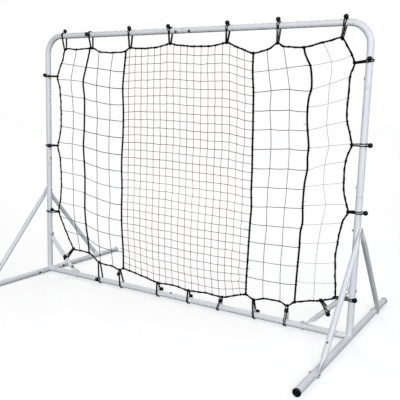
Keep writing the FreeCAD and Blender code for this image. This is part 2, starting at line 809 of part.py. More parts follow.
# Snap buttons and the bent spring strips that push them out. Each is made with the button up and
# its strip along X: the free leg belongs to the button, the bend and the fixed leg are the spring.
snapSizes = {
    "main": {
        "radius": "Sizes.buttonDia / 2",
        "top": "Layout.stripTop",
        "tip": "Layout.tubeRadius + Sizes.buttonProud",
        "reach": "Sizes.stripLength",
    },
    "brace": {
        "radius": "Sizes.braceButtonDia / 2",
        "top": "Layout.braceStripTop",
        "tip": "Layout.braceRadius + Sizes.buttonProud",
        "reach": "Sizes.braceButtonInset + Sizes.braceWall",
    },
}


def snapButton(label, at, turn, lengths):
    """One button on the free leg of its strip, and the strip's bend and fixed leg."""
    radius = lengths["radius"]
    top = lengths["top"]
    tip = lengths["tip"]
    reach = lengths["reach"]
    crownHeight = f"{radius} / 4"
    stem = primitive(
        "Cylinder",
        label + "_stem",
        {"Radius": radius, "Height": f"{tip} - {crownHeight} - {top}"},
        ("0", "0", top),
    )
    crown = primitive(
        "Cone",
        label + "_crown",
        {"Radius1": radius, "Radius2": f"{radius} - {crownHeight}", "Height": crownHeight},
        ("0", "0", f"{tip} - {crownHeight}"),
    )
    freeLeg = primitive(
        "Box",
        label + "_leg",
        {
            "Length": f"{reach} + {radius} + Sizes.stripThick",
            "Width": "Sizes.stripWidth",
            "Height": "Sizes.stripThick",
        },
        (f"-{radius} - Sizes.stripThick", "-Sizes.stripWidth / 2", f"{top} - Sizes.stripThick"),
    )
    keep(place(fused(label + "_body", [freeLeg, stem, crown]), at, turn), label)

    bendStart = f"{reach} + Sizes.seatGap"
    bendAt = (
        bendStart,
        "-Sizes.stripWidth / 2",
        f"{top} - Sizes.stripThick / 2 - Sizes.stripBend",
    )
    bendTurn = Rotation(Vector(0, 0, 1), Vector(1, 0, 0), Vector(0, 1, 0), "XYZ")
    rings = []
    for part, change in (("outer", "+"), ("inner", "-")):
        ring = primitive(
            "Cylinder",
            f"{label}_bend_{part}",
            {
                "Radius": f"Sizes.stripBend {change} Sizes.stripThick / 2",
                "Height": "Sizes.stripWidth",
            },
            bendAt,
            bendTurn,
        )
        ring.Angle = 180
        rings.append(ring)
    bend = cutAway(label + "_bend", rings[0], rings[1:])
    # The fixed leg slants from the bend's lower end to the far wall of the tube.
    wedgeTurn = Rotation(Vector(0, -1, 0), Vector(1, 0, 0), Vector(0, 0, 1), "XYZ")
    fixedLeg = primitive(
        "Wedge",
        label + "_fixed",
        {
            "Xmin": "-Sizes.stripWidth / 2",
            "Xmax": "Sizes.stripWidth / 2",
            "X2min": "-Sizes.stripWidth / 2",
            "X2max": "Sizes.stripWidth / 2",
            "Ymin": f"-{radius}",
            "Ymax": bendStart,
            "Zmin": f"Sizes.stripThick - {top}",
            "Zmax": f"2 * Sizes.stripThick - {top}",
            "Z2min": f"{top} - Sizes.stripThick - 2 * Sizes.stripBend",
            "Z2max": f"{top} - 2 * Sizes.stripBend",
        },
        turn=wedgeTurn,
    )
    return place(fused(label + "_spring", [bend, fixedLeg]), at, turn)


springs = []
for label, at, out, run, tube in buttons:
    outVector = out if isinstance(out, Vector) else wayVectors[out]
    runVector = run if isinstance(run, Vector) else wayVectors[run]
    turn = Rotation(runVector, Vector(), outVector, "ZXY")
    if isinstance(at, Vector):
        at = (str(at.x), str(at.y), str(at.z))
    springs.append(snapButton(label, at, turn, snapSizes[tube]))
grouped("button_springs", springs)

# The net's outline in the frame's plane: distance from the middle, and height over the bottom
# rail's centre line. A name marks a point where a bungee holds the border rope.
borderPoints = [
    (-849, 1383, "top_1"),
    (-745, 1373, ""),
    (-631, 1382, "top_2"),
    (-600, 1369, ""),
    (-575, 1355, ""),
    (-476, 1349, ""),
    (-386, 1354, ""),
    (-353, 1377, "top_3"),
    (-312, 1368, ""),
    (-213, 1368, ""),
    (-150, 1374, ""),
    (-85, 1391, "top_4"),
    (-51, 1381, ""),
    (27, 1372, ""),
    (120, 1368, ""),
    (196, 1371, ""),
    (261, 1387, "top_5"),
    (323, 1358, ""),
    (411, 1328, ""),
    (490, 1345, ""),
    (537, 1376, "top_6"),
    (569, 1357, ""),
    (614, 1352, ""),
    (673, 1349, ""),
    (785, 1373, ""),
    (858, 1394, "top_7"),
    (923, 1277, "right_1"),
    (903, 1225, ""),
    (899, 1110, ""),
    (899, 1030, ""),
    (933, 909, "right_2"),
    (909, 840, ""),
    (905, 745, ""),
    (913, 672, ""),
    (939, 599, "right_3"),
    (912, 545, ""),
    (897, 455, ""),
    (890, 376, ""),
    (895, 290, ""),
    (906, 175, "right_4"),
    (837, 147, "right_5"),
    (767, 133, ""),
    (699, 113, ""),
    (661, 83, "bottom_7"),
    (623, 100, ""),
    (528, 97, ""),
    (473, 78, "bottom_6"),
    (428, 100, ""),
    (350, 76, ""),
    (287, 54, "bottom_5"),
    (192, 61, ""),
    (75, 51, "bottom_4"),
    (-33, 64, ""),
    (-134, 56, "bottom_3"),
    (-195, 70, ""),
    (-258, 81, ""),
    (-384, 100, ""),
    (-412, 84, "bottom_2"),
    (-463, 99, ""),
    (-520, 101, ""),
    (-572, 102, "bottom_1"),
    (-607, 128, ""),
    (-652, 153, ""),
    (-733, 156, ""),
    (-785, 157, "left_4"),
    (-910, 380, "left_3"),
    (-893, 440, ""),
    (-882, 530, ""),
    (-883, 640, ""),
    (-893, 735, ""),
    (-913, 796, "left_2"),
    (-895, 842, ""),
    (-883, 895, ""),
    (-879, 960, ""),
    (-881, 1060, ""),
    (-888, 1140, ""),
    (-910, 1218, "left_1"),
    (-863, 1316, ""),
]

# The four ropes that divide the net, each from the top border to the bottom border.
dividerPoints = [
    [
        (-646, 1378), (-656, 1339), (-679, 1267), (-701, 1186), (-692, 1105), (-688, 1050),
        (-690, 898), (-695, 808), (-685, 646), (-686, 502), (-688, 430), (-684, 367), (-674, 295),
        (-661, 232), (-652, 153),
    ],
    [
        (-381, 1355), (-388, 1294), (-396, 1231), (-403, 1159), (-400, 1078), (-397, 1015),
        (-398, 880), (-403, 790), (-404, 695), (-399, 585), (-400, 475), (-399, 385), (-395, 313),
        (-389, 241), (-385, 170), (-384, 100),
    ],
    [
        (411, 1328), (411, 1258), (414, 1204), (420, 1141), (423, 1060), (427, 970), (430, 862),
        (434, 754), (434, 646), (438, 565), (434, 484), (431, 385), (429, 268), (427, 178), (428, 100),
    ],
    [
        (673, 1349), (680, 1321), (695, 1290), (711, 1258), (721, 1168), (710, 1114), (707, 1051),
        (711, 988), (724, 889), (722, 835), (725, 781), (716, 715), (713, 610), (717, 520), (709, 475),
        (708, 394), (704, 295), (701, 205), (699, 113),
    ],
]

# How each bungee's ball sits, an angle round the tube or a share of the way to the rope, and how far
# its loop is pulled along the tube. The angle is from the front, away from the net. A share on the
# back is negative.
ballSeats = {
    "top_1": ("angle", 115, -9),
    "top_2": ("angle", 0, -10),
    "top_3": ("angle", 47, 0),
    "top_4": ("angle", 39, 2),
    "top_5": ("angle", 44, 6),
    "top_6": ("angle", 52, 4),
    "top_7": ("angle", 42, 13),
    "right_1": ("angle", 15, 8),
    "right_2": ("angle", 78, 2),
    "right_3": ("angle", 84, 2),
    "right_4": ("angle", 39, 7),
    "right_5": ("angle", 42, -4),
    "bottom_1": ("share", 0.05, 13),
    "bottom_2": ("share", 0.75, 18),
    "bottom_3": ("share", -0.15, 7),
    "bottom_4": ("share", -0.1, 4),
    "bottom_5": ("share", 0.75, -14),
    "bottom_6": ("share", -0.05, 10),
    "bottom_7": ("share", 0.78, -4),
    "left_1": ("angle", -6, 2),
    "left_2": ("share", 0.35, -1),
    "left_3": ("share", 0.5, -4),
    "left_4": ("share", 0.25, -6),
}
frontWay = Vector(0, -1, 0)
# The frame that the points were drawn for: post and top rail centre lines from the middle and
# from the bottom rail. Points outside the bands keep their gap to the post or the rail.
drawnPostX = 984
drawnRise = 1453
netBandX = 700
netBandZ = 300


def kept(distance, drawn, reach, band):
    """A distance that keeps its gap to a member beyond the band, and is stretched below it."""
    if distance > band:
        return distance + reach - drawn
    return distance * (band + reach - drawn) / band


def onFrame(x, height):
    """A point of the frame's plane, drawn for a frame with its posts and top rail at the drawn sizes."""
    side = math.copysign(1, x)
    placedX = side * kept(abs(x), drawnPostX, size("postX"), netBandX)
    rise = size("topZ") - size("railZ")
    placedZ = height if height < netBandZ else kept(height - netBandZ, drawnRise - netBandZ,
                                                    rise - netBandZ, drawnRise - 2 * netBandZ) + netBandZ
    return Vector(placedX, 0, size("railZ") + placedZ)


def roundedRoute(points, closed, limits):
    """Straight runs joined by tangent arcs, with the middle and the way of each corner's arc."""
    count = len(points)
    corners = range(count) if closed else range(1, count - 1)
    arcs = {}
    middles = {}
    for index in corners:
        before = points[index] - points[index - 1]
        after = points[(index + 1) % count] - points[index]
        shorter = min(before.Length, after.Length)
        before.normalize()
        after.normalize()
        half = before.getAngle(after) / 2
        reach = 0.45 * shorter
        radius = min(reach / math.tan(half), limits[index])
        reach = radius * math.tan(half)
        inwards = (after - before).normalize()
        middle = points[index] + inwards * (radius / math.cos(half) - radius)
        arcs[index] = (points[index] - before * reach, middle, points[index] + after * reach)
        middles[index] = (middle, (before + after).normalize())
    edges = []
    last = arcs[count - 1][2] if closed else points[0]
    for index in corners:
        start, middle, end = arcs[index]
        edges.append(Part.LineSegment(last, start).toShape())
        edges.append(Part.Arc(start, middle, end).toShape())
        last = end
    if not closed:
        edges.append(Part.LineSegment(last, points[-1]).toShape())
    return Part.Wire(edges), middles


def roundCord(wire, diameter):
    """A round cord along a wire that starts with a straight run."""
    first = wire.Edges[0]
    start = first.valueAt(first.FirstParameter)
    ring = Part.Wire([Part.makeCircle(diameter / 2, start, first.tangentAt(first.FirstParameter))])
    cord = wire.makePipeShell([ring], True, False)
    expected = math.pi * diameter**2 / 4 * wire.Length
    if abs(cord.Volume - expected) > 0.02 * expected:
        raise RuntimeError(f"cord volume {cord.Volume:.0f} differs from {expected:.0f}")
    return cord


borderRoute = [onFrame(x, height) for x, height, name in borderPoints]
bendLimits = [size("tieBend") if name else 400 for x, height, name in borderPoints]
borderWire, borderMiddles = roundedRoute(borderRoute, True, bendLimits)
tiePoints = {}
for index, (x, height, name) in enumerate(borderPoints):
    if name:
        tiePoints[name] = borderMiddles[index]
borderCord = roundCord(borderWire, size("ropeDia"))
keep(coded("border_rope_body", borderCord), "border_rope")
print("border rope length", round(borderWire.Length))

# A divider rope stops a seat gap short of the border rope's surface at both ends.
dividerWires = []
for number, route in enumerate(dividerPoints, start=1):
    points = [onFrame(x, height) for x, height in route]
    wire, _ = roundedRoute(points, False, [400] * len(points))
    dividerWires.append(wire)
    trim = size("ropeDia") / 2 + size("seatGap") + 1
    points[0] = points[0] + (points[1] - points[0]).normalize() * trim
    points[-1] = points[-1] + (points[-2] - points[-1]).normalize() * trim
    wire, _ = roundedRoute(points, False, [400] * len(points))
    keep(coded(f"divider_rope_{number}_body", roundCord(wire, size("dividerDia"))), f"divider_rope_{number}")
    print("divider rope", number, "length", round(wire.Length))


# Bungees: two strands of one loop round the tube and the border rope, and a ball on the loop.
def tubeUnder(name, tie):
    """The point of the tube's axis that a bungee goes round, and the tube's way and radius."""
    group = name.split("_")[0]
    if name in ("left_4", "right_5"):
        sign = -1 if tie.x < 0 else 1
        foot = cornerBraceAxis(sign, 0)
        along = Vector(sign, 0, 1).normalize()
        return foot + along * (tie - foot).dot(along), along, size("braceRadius")
    if group in ("left", "right"):
        sign = -1 if group == "left" else 1
        return Vector(sign * size("postX"), 0, tie.z), Vector(0, 0, 1), size("tubeRadius")
    height = size("topZ") if group == "top" else size("railZ")
    return Vector(tie.x, 0, height), Vector(1, 0, 0), size("tubeRadius")


def tangentWay(front, towards, radiusA, radiusB, apart):
    """The outward normal of the line that touches two circles on the given face."""
    lean = (radiusA - radiusB) / apart
    return front * math.sqrt(1 - lean**2) + towards * lean


def beltWire(circles, towards, front, shift):
    """A closed belt round a chain of circles, each a centre and a radius, from tube to rope."""
    normals = []
    for (centreA, radiusA), (centreB, radiusB) in zip(circles, circles[1:]):
        apart = (centreB - centreA).Length
        normals.append(
            [tangentWay(front * face, towards, radiusA, radiusB, apart) for face in (1, -1)]
        )
    edges = []
    count = len(normals)
    for face in (0, 1):
        order = range(count) if face == 0 else range(count - 1, -1, -1)
        for number in order:
            first = circles[number][0] + normals[number][face] * circles[number][1] + shift
            last = circles[number + 1][0] + normals[number][face] * circles[number + 1][1] + shift
            ends_ = (first, last) if face == 0 else (last, first)
            edges.append(Part.LineSegment(*ends_).toShape())
            following = number + 1 if face == 0 else number - 1
            if 0 <= following < count:
                centre, radius = circles[number + 1 if face == 0 else number]
                bisector = (normals[number][face] + normals[following][face]).normalize()
                begin = centre + normals[number][face] * radius + shift
                finish = centre + normals[following][face] * radius + shift
                edges.append(Part.Arc(begin, centre + bisector * radius + shift, finish).toShape())
        if face == 0:
            centre, radius = circles[-1]
            through = centre + towards * radius + shift
            begin = centre + normals[-1][0] * radius + shift
            finish = centre + normals[-1][1] * radius + shift
        else:
            centre, radius = circles[0]
            through = centre - towards * radius + shift
            begin = centre + normals[0][1] * radius + shift
            finish = centre + normals[0][0] * radius + shift
        edges.append(Part.Arc(begin, through, finish).toShape())
    return Part.Wire(edges)


def ballShape():
    """A ball with a short neck, in its own frame: the neck's foot at the origin, +Z outwards."""
    radius = size("ballDia") / 2
    neck = Part.makeCylinder(size("ballNeckDia") / 2, size("ballRise"))
    return neck.fuse(Part.makeSphere(radius, Vector(0, 0, size("ballRise")))).removeSplitter()


cords = []
balls = []
tieWays = []
cordReach = size("cordDia") / 2 + size("seatGap")
strandShift = size("cordDia") / 2 + size("seatGap") / 2
for name, (seatKind, seatValue, pulled) in ballSeats.items():
    tie, ropeWay = tiePoints[name]
    axisPoint, axisWay, tubeRadius = tubeUnder(name, tie)
    axisPoint += axisWay * pulled
    towards = (tie - axisPoint).normalize()
    # A tube or rope that slants across the loop's plane needs a wider bend round it.
    across = towards.cross(frontWay).normalize()
    tubeCircle = (axisPoint, tubeRadius / abs(axisWay.dot(across)) + cordReach)
    oblique = axisWay.dot(towards)
    slope = (ropeWay.dot(towards) - oblique * ropeWay.dot(axisWay)) / (
        ropeWay.dot(axisWay) - oblique * ropeWay.dot(towards)
    )
    widened = size("ropeDia") / 2 / abs(ropeWay.dot(across)) + size("cordDia") / 2 * abs(slope)
    tieCircle = (tie, widened + cordReach + size("seatGap"))
    for strand in (-1, 1):
        circles = [tubeCircle, (tie + towards * (slope * strand * strandShift), tieCircle[1])]
        if name == "right_4":
            # This loop also passes round the corner brace, which crosses between post and rope.
            run = axisPoint - tie
            braceFrom = tie.z - size("railZ") + size("postX") - size("cornerBraceOffset") - tie.x
            bulge = tie + run * (braceFrom / (run.x - run.z)) + towards * (size("cordDia") / 2)
            circles.insert(1, (bulge, size("tabWidth") / 2 + cordReach))
        wire = beltWire(circles, towards, frontWay, axisWay * (strand * strandShift))
        cords.append(coded(f"bungee_{name}_{strand + 2}", roundCord(wire, size("cordDia"))))
    if seatKind == "angle":
        turned = math.radians(seatValue)
        out = frontWay * math.cos(turned) - towards * math.sin(turned)
        foot = axisPoint + out * (tubeCircle[1] + cordReach)
    else:
        face = frontWay if seatValue > 0 else frontWay * -1
        apart = (tie - axisPoint).Length
        out = tangentWay(face, towards, tubeCircle[1], tieCircle[1], apart)
        start = axisPoint + out * tubeCircle[1]
        end = tie + out * tieCircle[1]
        foot = start + (end - start) * abs(seatValue) + out * cordReach
    balls.append(coded(f"ball_{name}", ballShape(), Placement(foot, Rotation(Vector(0, 0, 1), out))))
    tieWays.append((tie, axisWay, towards, tieCircle[1] + abs(slope) * strandShift))
grouped("bungee_cords", cords)
grouped("bungee_balls", balls)

# Net panels: flat holed sheets between the ropes, a coarse mesh outside and a finer one inside.
def netRegions(margin):
    """The areas that the ropes leave, from left to right, each shrunk by a margin."""
    ropeBand = size("ropeDia") / 2 + size("seatGap") + margin
    dividerBand = size("dividerDia") / 2 + size("seatGap") + margin
    cuts = [Part.Face(wire.makeOffset2D(dividerBand)) for wire in dividerWires]
    for tie, axisWay, towards, bend in tieWays:
        # The net is open where a bungee's strands come through it.
        half = axisWay * (2 * strandShift + size("seatGap") + margin)
        far = towards * (bend + cordReach + margin)
        corners = [tie - half, tie + half, tie + half + far, tie - half + far]
        cuts.append(Part.Face(Part.makePolygon(corners + corners[:1])))
    areas = Part.Face(borderWire.makeOffset2D(-ropeBand)).cut(cuts).Faces
    areas = [area for area in areas if area.Area > size("netPitch") ** 2]
    return sorted(areas, key=lambda area: area.CenterOfMass.x)


def gridGap(low, wide, tall):
    """One square gap of the net before it's trimmed to its panel."""
    points = [low, low + wide, low + wide + tall, low + tall, low]
    return Part.Face(Part.makePolygon(points))


def panelShape(area, gapArea, columns, rows, strand):
    """One panel: its outline less a grid of square gaps, given its thickness."""
    box = area.BoundBox
    stepX = box.XLength / columns
    stepZ = box.ZLength / rows
    wide = Vector(stepX - strand, 0, 0)
    tall = Vector(0, 0, stepZ - strand)
    cells = []
    for column in range(columns):
        for row in range(rows):
            low = Vector(
                box.XMin + column * stepX + strand / 2, 0, box.ZMin + row * stepZ + strand / 2
            )
            cells.append(gridGap(low, wide, tall))
    gaps = [gap for gap in gapArea.common(Part.makeCompound(cells)).Faces if gap.Area > smallestGap]
    sheetFace = area.cut(gaps)
    thick = size("netThick")
    sheetFace.translate(Vector(0, -thick / 2, 0))
    print("net panel gaps", len(gaps), "faces", len(sheetFace.Faces))
    return sheetFace.Faces[0].extrude(Vector(0, thick, 0))


smallestGap = 60
fineCounts = (13, 19)
panelColumns = [2, 3, fineCounts[0], 3, 2]
panels = zip(netRegions(0), netRegions(size("netStrand")), panelColumns)
for number, (area, gapArea, columns) in enumerate(panels, start=1):
    fine = columns == fineCounts[0]
    rows = fineCounts[1] if fine else round(area.BoundBox.ZLength / size("netPitch"))
    strand = size("fineStrand") if fine else size("netStrand")
    shape = panelShape(area, gapArea, columns, rows, strand)
    keep(coded(f"net_panel_{number}_body", shape), f"net_panel_{number}")

doc.recompute()
for thing in doc.Objects:
    if "Invalid" in thing.State or "Error" in thing.State:
        raise RuntimeError(f"{thing.Label} failed: {thing.State}")
for piece in nodes:
    if piece.Shape.isNull() or not piece.Shape.isValid():
        raise RuntimeError(f"{piece.Label} has no valid shape")
for piece in nodes:
    piece.Shape.exportStep(f"parts/{piece.Label}.step")
print(len(nodes), "pieces written")
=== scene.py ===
import json
import math

import bpy
import numpy as np
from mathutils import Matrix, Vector


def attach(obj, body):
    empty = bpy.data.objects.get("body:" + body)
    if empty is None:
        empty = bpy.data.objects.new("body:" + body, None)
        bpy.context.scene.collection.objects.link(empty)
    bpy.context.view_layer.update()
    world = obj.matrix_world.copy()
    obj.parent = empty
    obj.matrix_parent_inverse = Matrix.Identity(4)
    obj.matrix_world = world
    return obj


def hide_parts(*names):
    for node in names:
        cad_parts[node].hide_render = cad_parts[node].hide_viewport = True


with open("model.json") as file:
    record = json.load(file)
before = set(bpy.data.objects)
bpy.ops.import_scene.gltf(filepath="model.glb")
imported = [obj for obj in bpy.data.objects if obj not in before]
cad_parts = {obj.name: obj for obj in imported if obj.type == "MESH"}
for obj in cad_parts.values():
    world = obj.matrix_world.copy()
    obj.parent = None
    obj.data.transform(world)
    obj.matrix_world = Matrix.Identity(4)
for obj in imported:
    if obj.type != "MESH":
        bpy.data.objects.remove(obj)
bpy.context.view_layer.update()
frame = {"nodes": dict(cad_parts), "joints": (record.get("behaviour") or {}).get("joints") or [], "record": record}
chance = np.random.default_rng(41)
print("frame loaded with", len(frame["nodes"]), "nodes")

# where things are, in metres, as the frame has them
layout = {
    "postX": 0.984,
    "tube": 0.016,
    "brace": 0.0125,
    "railZ": 0.021,
    "footZ": 0.0175,
    "topZ": 1.474,
    "footEnd": 0.659,
    "braceOffset": 0.228,
    "braceRun": 0.235,
}

# the photograph's viewpoint
view = {
    "place": (1.718, -2.641, 1.076),
    "turn": (81.0, -1.75, 31.27),
    "lens": 52.4,
}
camera = bpy.data.objects.new("camera", bpy.data.cameras.new("camera"))
camera.location = view["place"]
camera.rotation_euler = [math.radians(angle) for angle in view["turn"]]
camera.data.lens = view["lens"]
camera.data.sensor_width = 36
camera.data.clip_end = 200
bpy.context.scene.collection.objects.link(camera)
bpy.context.scene.camera = camera
print("camera set")


# finishes
class Value:
    # something that varies over a surface: its sums, differences, products, size, sine and maximum
    # are one Math node each
    def __init__(self, finish, socket):
        self.finish = finish
        self.socket = socket

    def calc(self, operation, *terms):
        # a Math node on the terms, in their order
        return self.finish.node("ShaderNodeMath", {"operation": operation}, dict(enumerate(terms)))

    def __add__(self, other):
        return self.calc("ADD", self, other)

    def __sub__(self, other):
        return self.calc("SUBTRACT", self, other)

    def __rsub__(self, other):
        return self.calc("SUBTRACT", other, self)

    def __mul__(self, other):
        return self.calc("MULTIPLY", self, other)

    def __abs__(self):
        return self.calc("ABSOLUTE", self)

    def sine(self):
        return self.calc("SINE", self)

    def high(self, other):
        # the larger of the two
        return self.calc("MAXIMUM", self, other)

    def ramp(self, low, high):
        # 0 below low, 1 above high, smooth between; low may be the larger
        values = {"Value": self, "From Min": low, "From Max": high}
        return self.finish.node("ShaderNodeMapRange", {"interpolation_type": "SMOOTHSTEP"}, values)

    __radd__ = __add__


socketNames = {
    "colour": "Base Color", "rough": "Roughness", "metal": "Metallic", "normal": "Normal",
    "gloss": "Specular IOR Level", "sheen": "Sheen Weight", "sheenRough": "Sheen Roughness",
}


class Tree:
    # the nodes of a material or of the world, added by methods
    def __init__(self, owner):
        owner.use_nodes = True
        self.nodes = owner.node_tree.nodes
        self.links = owner.node_tree.links
        self.nodes.clear()

    def feed(self, socket, value):
        # what varies is linked to the socket, a fixed value is set on it
        if isinstance(value, Value):
            self.links.new(value.socket, socket)
        else:
            socket.default_value = value

    def node(self, kind, settings=(), values=(), out=0):
        # a new node, set and fed, as the value at one of its outputs
        made = self.nodes.new(kind)
        for name, setting in dict(settings).items():
            setattr(made, name, setting)
        for name, value in dict(values).items():
            self.feed(made.inputs[name], value)
        return Value(self, made.outputs[out])

    def end(self, kind, shader):
        # the output node, whose surface is a shader
        self.surface = self.nodes.new(kind).inputs["Surface"]
        self.feed(self.surface, shader)


class Finish(Tree):
    # one material, with textures to vary it by; done feeds the shader's sockets
    def __init__(self, name):
        self.material = bpy.data.materials.new(name)
        super().__init__(self.material)
        self.shader = self.nodes.new("ShaderNodeBsdfPrincipled")
        self.end("ShaderNodeOutputMaterial", Value(self, self.shader.outputs["BSDF"]))

    def place(self):
        # where a point is, in metres
        return self.node("ShaderNodeTexCoord", out="Object")

    def axes(self):
        # x, y and z of a point's place
        split = self.node("ShaderNodeSeparateXYZ", values={0: self.place()})
        return [Value(self, output) for output in split.socket.node.outputs]

    def around(self):
        # u goes round a cord from 0 to 1, v goes along it in metres
        uv = self.node("ShaderNodeUVMap", {"uv_map": "around"})
        split = self.node("ShaderNodeSeparateXYZ", values={0: uv})
        return [Value(self, output) for output in split.socket.node.outputs][:2]

    def noise(self, scale, detail=2, rough=0.5, stretch=(1, 1, 1)):
        # soft noise with about scale lumps in a metre; a stretch below 1 draws them out along that axis
        spot = self.node("ShaderNodeMapping", values={"Vector": self.place(), "Scale": stretch})
        values = {"Vector": spot, "Scale": scale, "Detail": detail, "Roughness": rough}
        return self.node("ShaderNodeTexNoise", values=values)

    def cells(self, scale):
        # distance to the nearest of scattered points
        return self.node("ShaderNodeTexVoronoi", values={"Vector": self.place(), "Scale": scale})

    def mix(self, factor, first, second):
        # from the first colour at 0 to the second at 1
        return self.node("ShaderNodeMix", {"data_type": "RGBA"}, {0: factor, 6: first, 7: second}, 2)

    def bump(self, height, distance, strength=1):
        # a height of 1 stands for the distance in metres
        values = {"Height": height, "Distance": distance, "Strength": strength}
        return self.node("ShaderNodeBump", values=values)

    def done(self, **values):
        # the shader's sockets by their short names
        for name, value in values.items():
            self.feed(self.shader.inputs[socketNames[name]], value)
        return self.material


def shade(red, green, blue):
    # an opaque colour
    return (red, green, blue, 1)


def grey(level):
    # the same level in red, green and blue
    return shade(level, level, level)


powder = {
    "pale": shade(0.74, 0.755, 0.78),
    "cool": shade(0.71, 0.728, 0.76),
    "grime": grey(0.20),
    "steel": shade(0.34, 0.34, 0.35),
    "postSeams": (1.185, 0.695),
    "footSeam": 0.0622,
    "railSeam": 0.9238,
    "seamEdge": (0.0035, 0.0006),
    "cloudScale": 2.6,
    "speckScale": 1300,
    "peelScale": 420,
    "peelDepth": 0.00006,
    "seamDust": 0.55,
    "lowDust": 0.45,
    "scuff": 0.6,
    "rough": 0.36,
    "gloss": 0.45,
}


def powderCoat(name, look):
    # pale powder over steel: orange peel, faint clouding, dust in the seams, scuffs near the ground
    finish = Finish(name)
    x, y, z = finish.axes()
    cloud = finish.noise(look["cloudScale"], 3, 0.55).ramp(0.35, 0.68)
    colour = finish.mix(cloud, look["pale"], look["cool"])
    speck = finish.noise(look["speckScale"], 1, 0.5).ramp(0.74, 0.80) * 0.25
    colour = finish.mix(speck, colour, look["grime"])
    # dust lies where one tube goes into another: top rail, posts, feet and bottom rail
    edge = look["seamEdge"]
    low = z.ramp(0.05, 0.04)
    seam = abs(x).ramp(*edge)
    for height in look["postSeams"]:
        seam = seam.high(abs(z - height).ramp(*edge))
    seam = seam.high(abs(abs(y) - look["footSeam"]).ramp(*edge) * low)
    seam = seam.high(abs(abs(x) - look["railSeam"]).ramp(*edge) * abs(y).ramp(0.03, 0.02) * low)
    seam = seam * finish.noise(160, 3, 0.6).ramp(0.25, 0.7)
    colour = finish.mix(seam * look["seamDust"], colour, look["grime"])
    # fine scratches run front to back on the feet and the rail, where the object is dragged
    scratch = finish.noise(240, 4, 0.65, (1, 0.08, 1)).ramp(0.66, 0.72) * z.ramp(0.045, 0.012)
    dust = finish.noise(34, 4, 0.6).ramp(0.45, 0.8) * z.ramp(0.035, 0.0)
    colour = finish.mix(dust * look["lowDust"], colour, look["grime"])
    colour = finish.mix(scratch * look["scuff"], colour, look["steel"])
    peel = finish.noise(look["peelScale"], 2, 0.45)
    rough = look["rough"] + finish.noise(45, 3, 0.5) * 0.10 + dust * 0.25
    normal = finish.bump(peel - scratch * look["scuff"], look["peelDepth"])
    return finish.done(colour=colour, rough=rough, normal=normal, gloss=look["gloss"])


zinc = {
    "bright": shade(0.66, 0.66, 0.65),
    "yellow": shade(0.55, 0.54, 0.47),
    "dull": shade(0.38, 0.38, 0.36),
    "rough": 0.30,
    "grainDepth": 0.00008,
}


def zincPlate(name, look):
    # passivated zinc: mottled silver and straw, dull in patches, with a fine grain front to back
    finish = Finish(name)
    mottle = finish.noise(260, 3, 0.6)
    colour = finish.mix(mottle.ramp(0.35, 0.65), look["bright"], look["yellow"])
    colour = finish.mix(finish.noise(90, 2, 0.5).ramp(0.55, 0.75), colour, look["dull"])
    grain = finish.bump(finish.noise(900, 2, 0.5, (1, 0.2, 1)), look["grainDepth"])
    rough = look["rough"] + mottle * 0.25
    return finish.done(colour=colour, metal=1.0, rough=rough, normal=grain)


brass = {
    "dark": shade(0.045, 0.04, 0.015),
    "yellow": shade(0.60, 0.55, 0.11),
    "fromHeight": (0.5, 0.6),
    "toHeight": (1.42, 1.36),
    "metal": 0.7,
    "rough": 0.42,
    "scratchDepth": 0.00006,
}


def buttonPlate(name, look):
    # dark olive passivated steel, rubbed brighter in patches and scratched, and yellower on the posts
    finish = Finish(name)
    z = finish.axes()[2]
    worn = finish.noise(420, 3, 0.6).ramp(0.48, 0.72)
    fresh = z.ramp(*look["fromHeight"]) * z.ramp(*look["toHeight"])
    colour = finish.mix(worn * 0.25 + fresh * 0.75, look["dark"], look["yellow"])
    scratches = finish.bump(finish.noise(1500, 2, 0.5, (1, 1, 0.15)), look["scratchDepth"])
    rough = look["rough"] - worn * 0.14
    return finish.done(colour=colour, metal=look["metal"], rough=rough, normal=scratches)


plastic = {
    "black": shade(0.003, 0.003, 0.0033),
    "chalky": shade(0.022, 0.022, 0.021),
    "grainScale": 1700,
    "grainDepth": 0.00005,
    "gloss": 0.2,
}


def blackPlastic(name, look, smooth, lowDust):
    # moulded plastic with a fine spark grain and chalky rubbing; lowDust makes it dusty at the ground
    finish = Finish(name)
    z = finish.axes()[2]
    rub = finish.noise(150, 4, 0.65).ramp(0.58, 0.80)
    if lowDust:
        rub = rub + z.ramp(0.012, 0.0) * 0.5
    colour = finish.mix(rub * 0.5, look["black"], look["chalky"])
    grain = finish.bump(finish.cells(look["grainScale"]), look["grainDepth"], 0.6)
    rough = smooth + rub * 0.2
    return finish.done(colour=colour, rough=rough, normal=grain, gloss=look["gloss"])


ropeLook = {
    "black": shade(0.0022, 0.0022, 0.0025),
    "fibre": shade(0.013, 0.013, 0.014),
    "hairs": 60,
    "hairTurns": 900,
    "hairDepth": 0.00022,
    "rough": 0.62,
    "gloss": 0.07,
    "sheen": 0.012,
}


def ropeFibre(name, look):
    # filaments run slantwise round the rope, as sin(hairs u + hairTurns v), greyer in patches
    finish = Finish(name)
    u, v = finish.around()
    hairs = ((u * look["hairs"] + v * look["hairTurns"]) * 2 * math.pi).sine() * 0.5 + 0.5
    fuzz = finish.noise(700, 3, 0.6)
    colour = finish.mix(hairs * fuzz.ramp(0.4, 0.75) * 0.7, look["black"], look["fibre"])
    rough = look["rough"] + fuzz * 0.2
    normal = finish.bump(hairs * 0.6 + fuzz, look["hairDepth"])
    soft = {"gloss": look["gloss"], "sheen": look["sheen"], "sheenRough": 0.5}
    return finish.done(colour=colour, rough=rough, normal=normal, **soft)


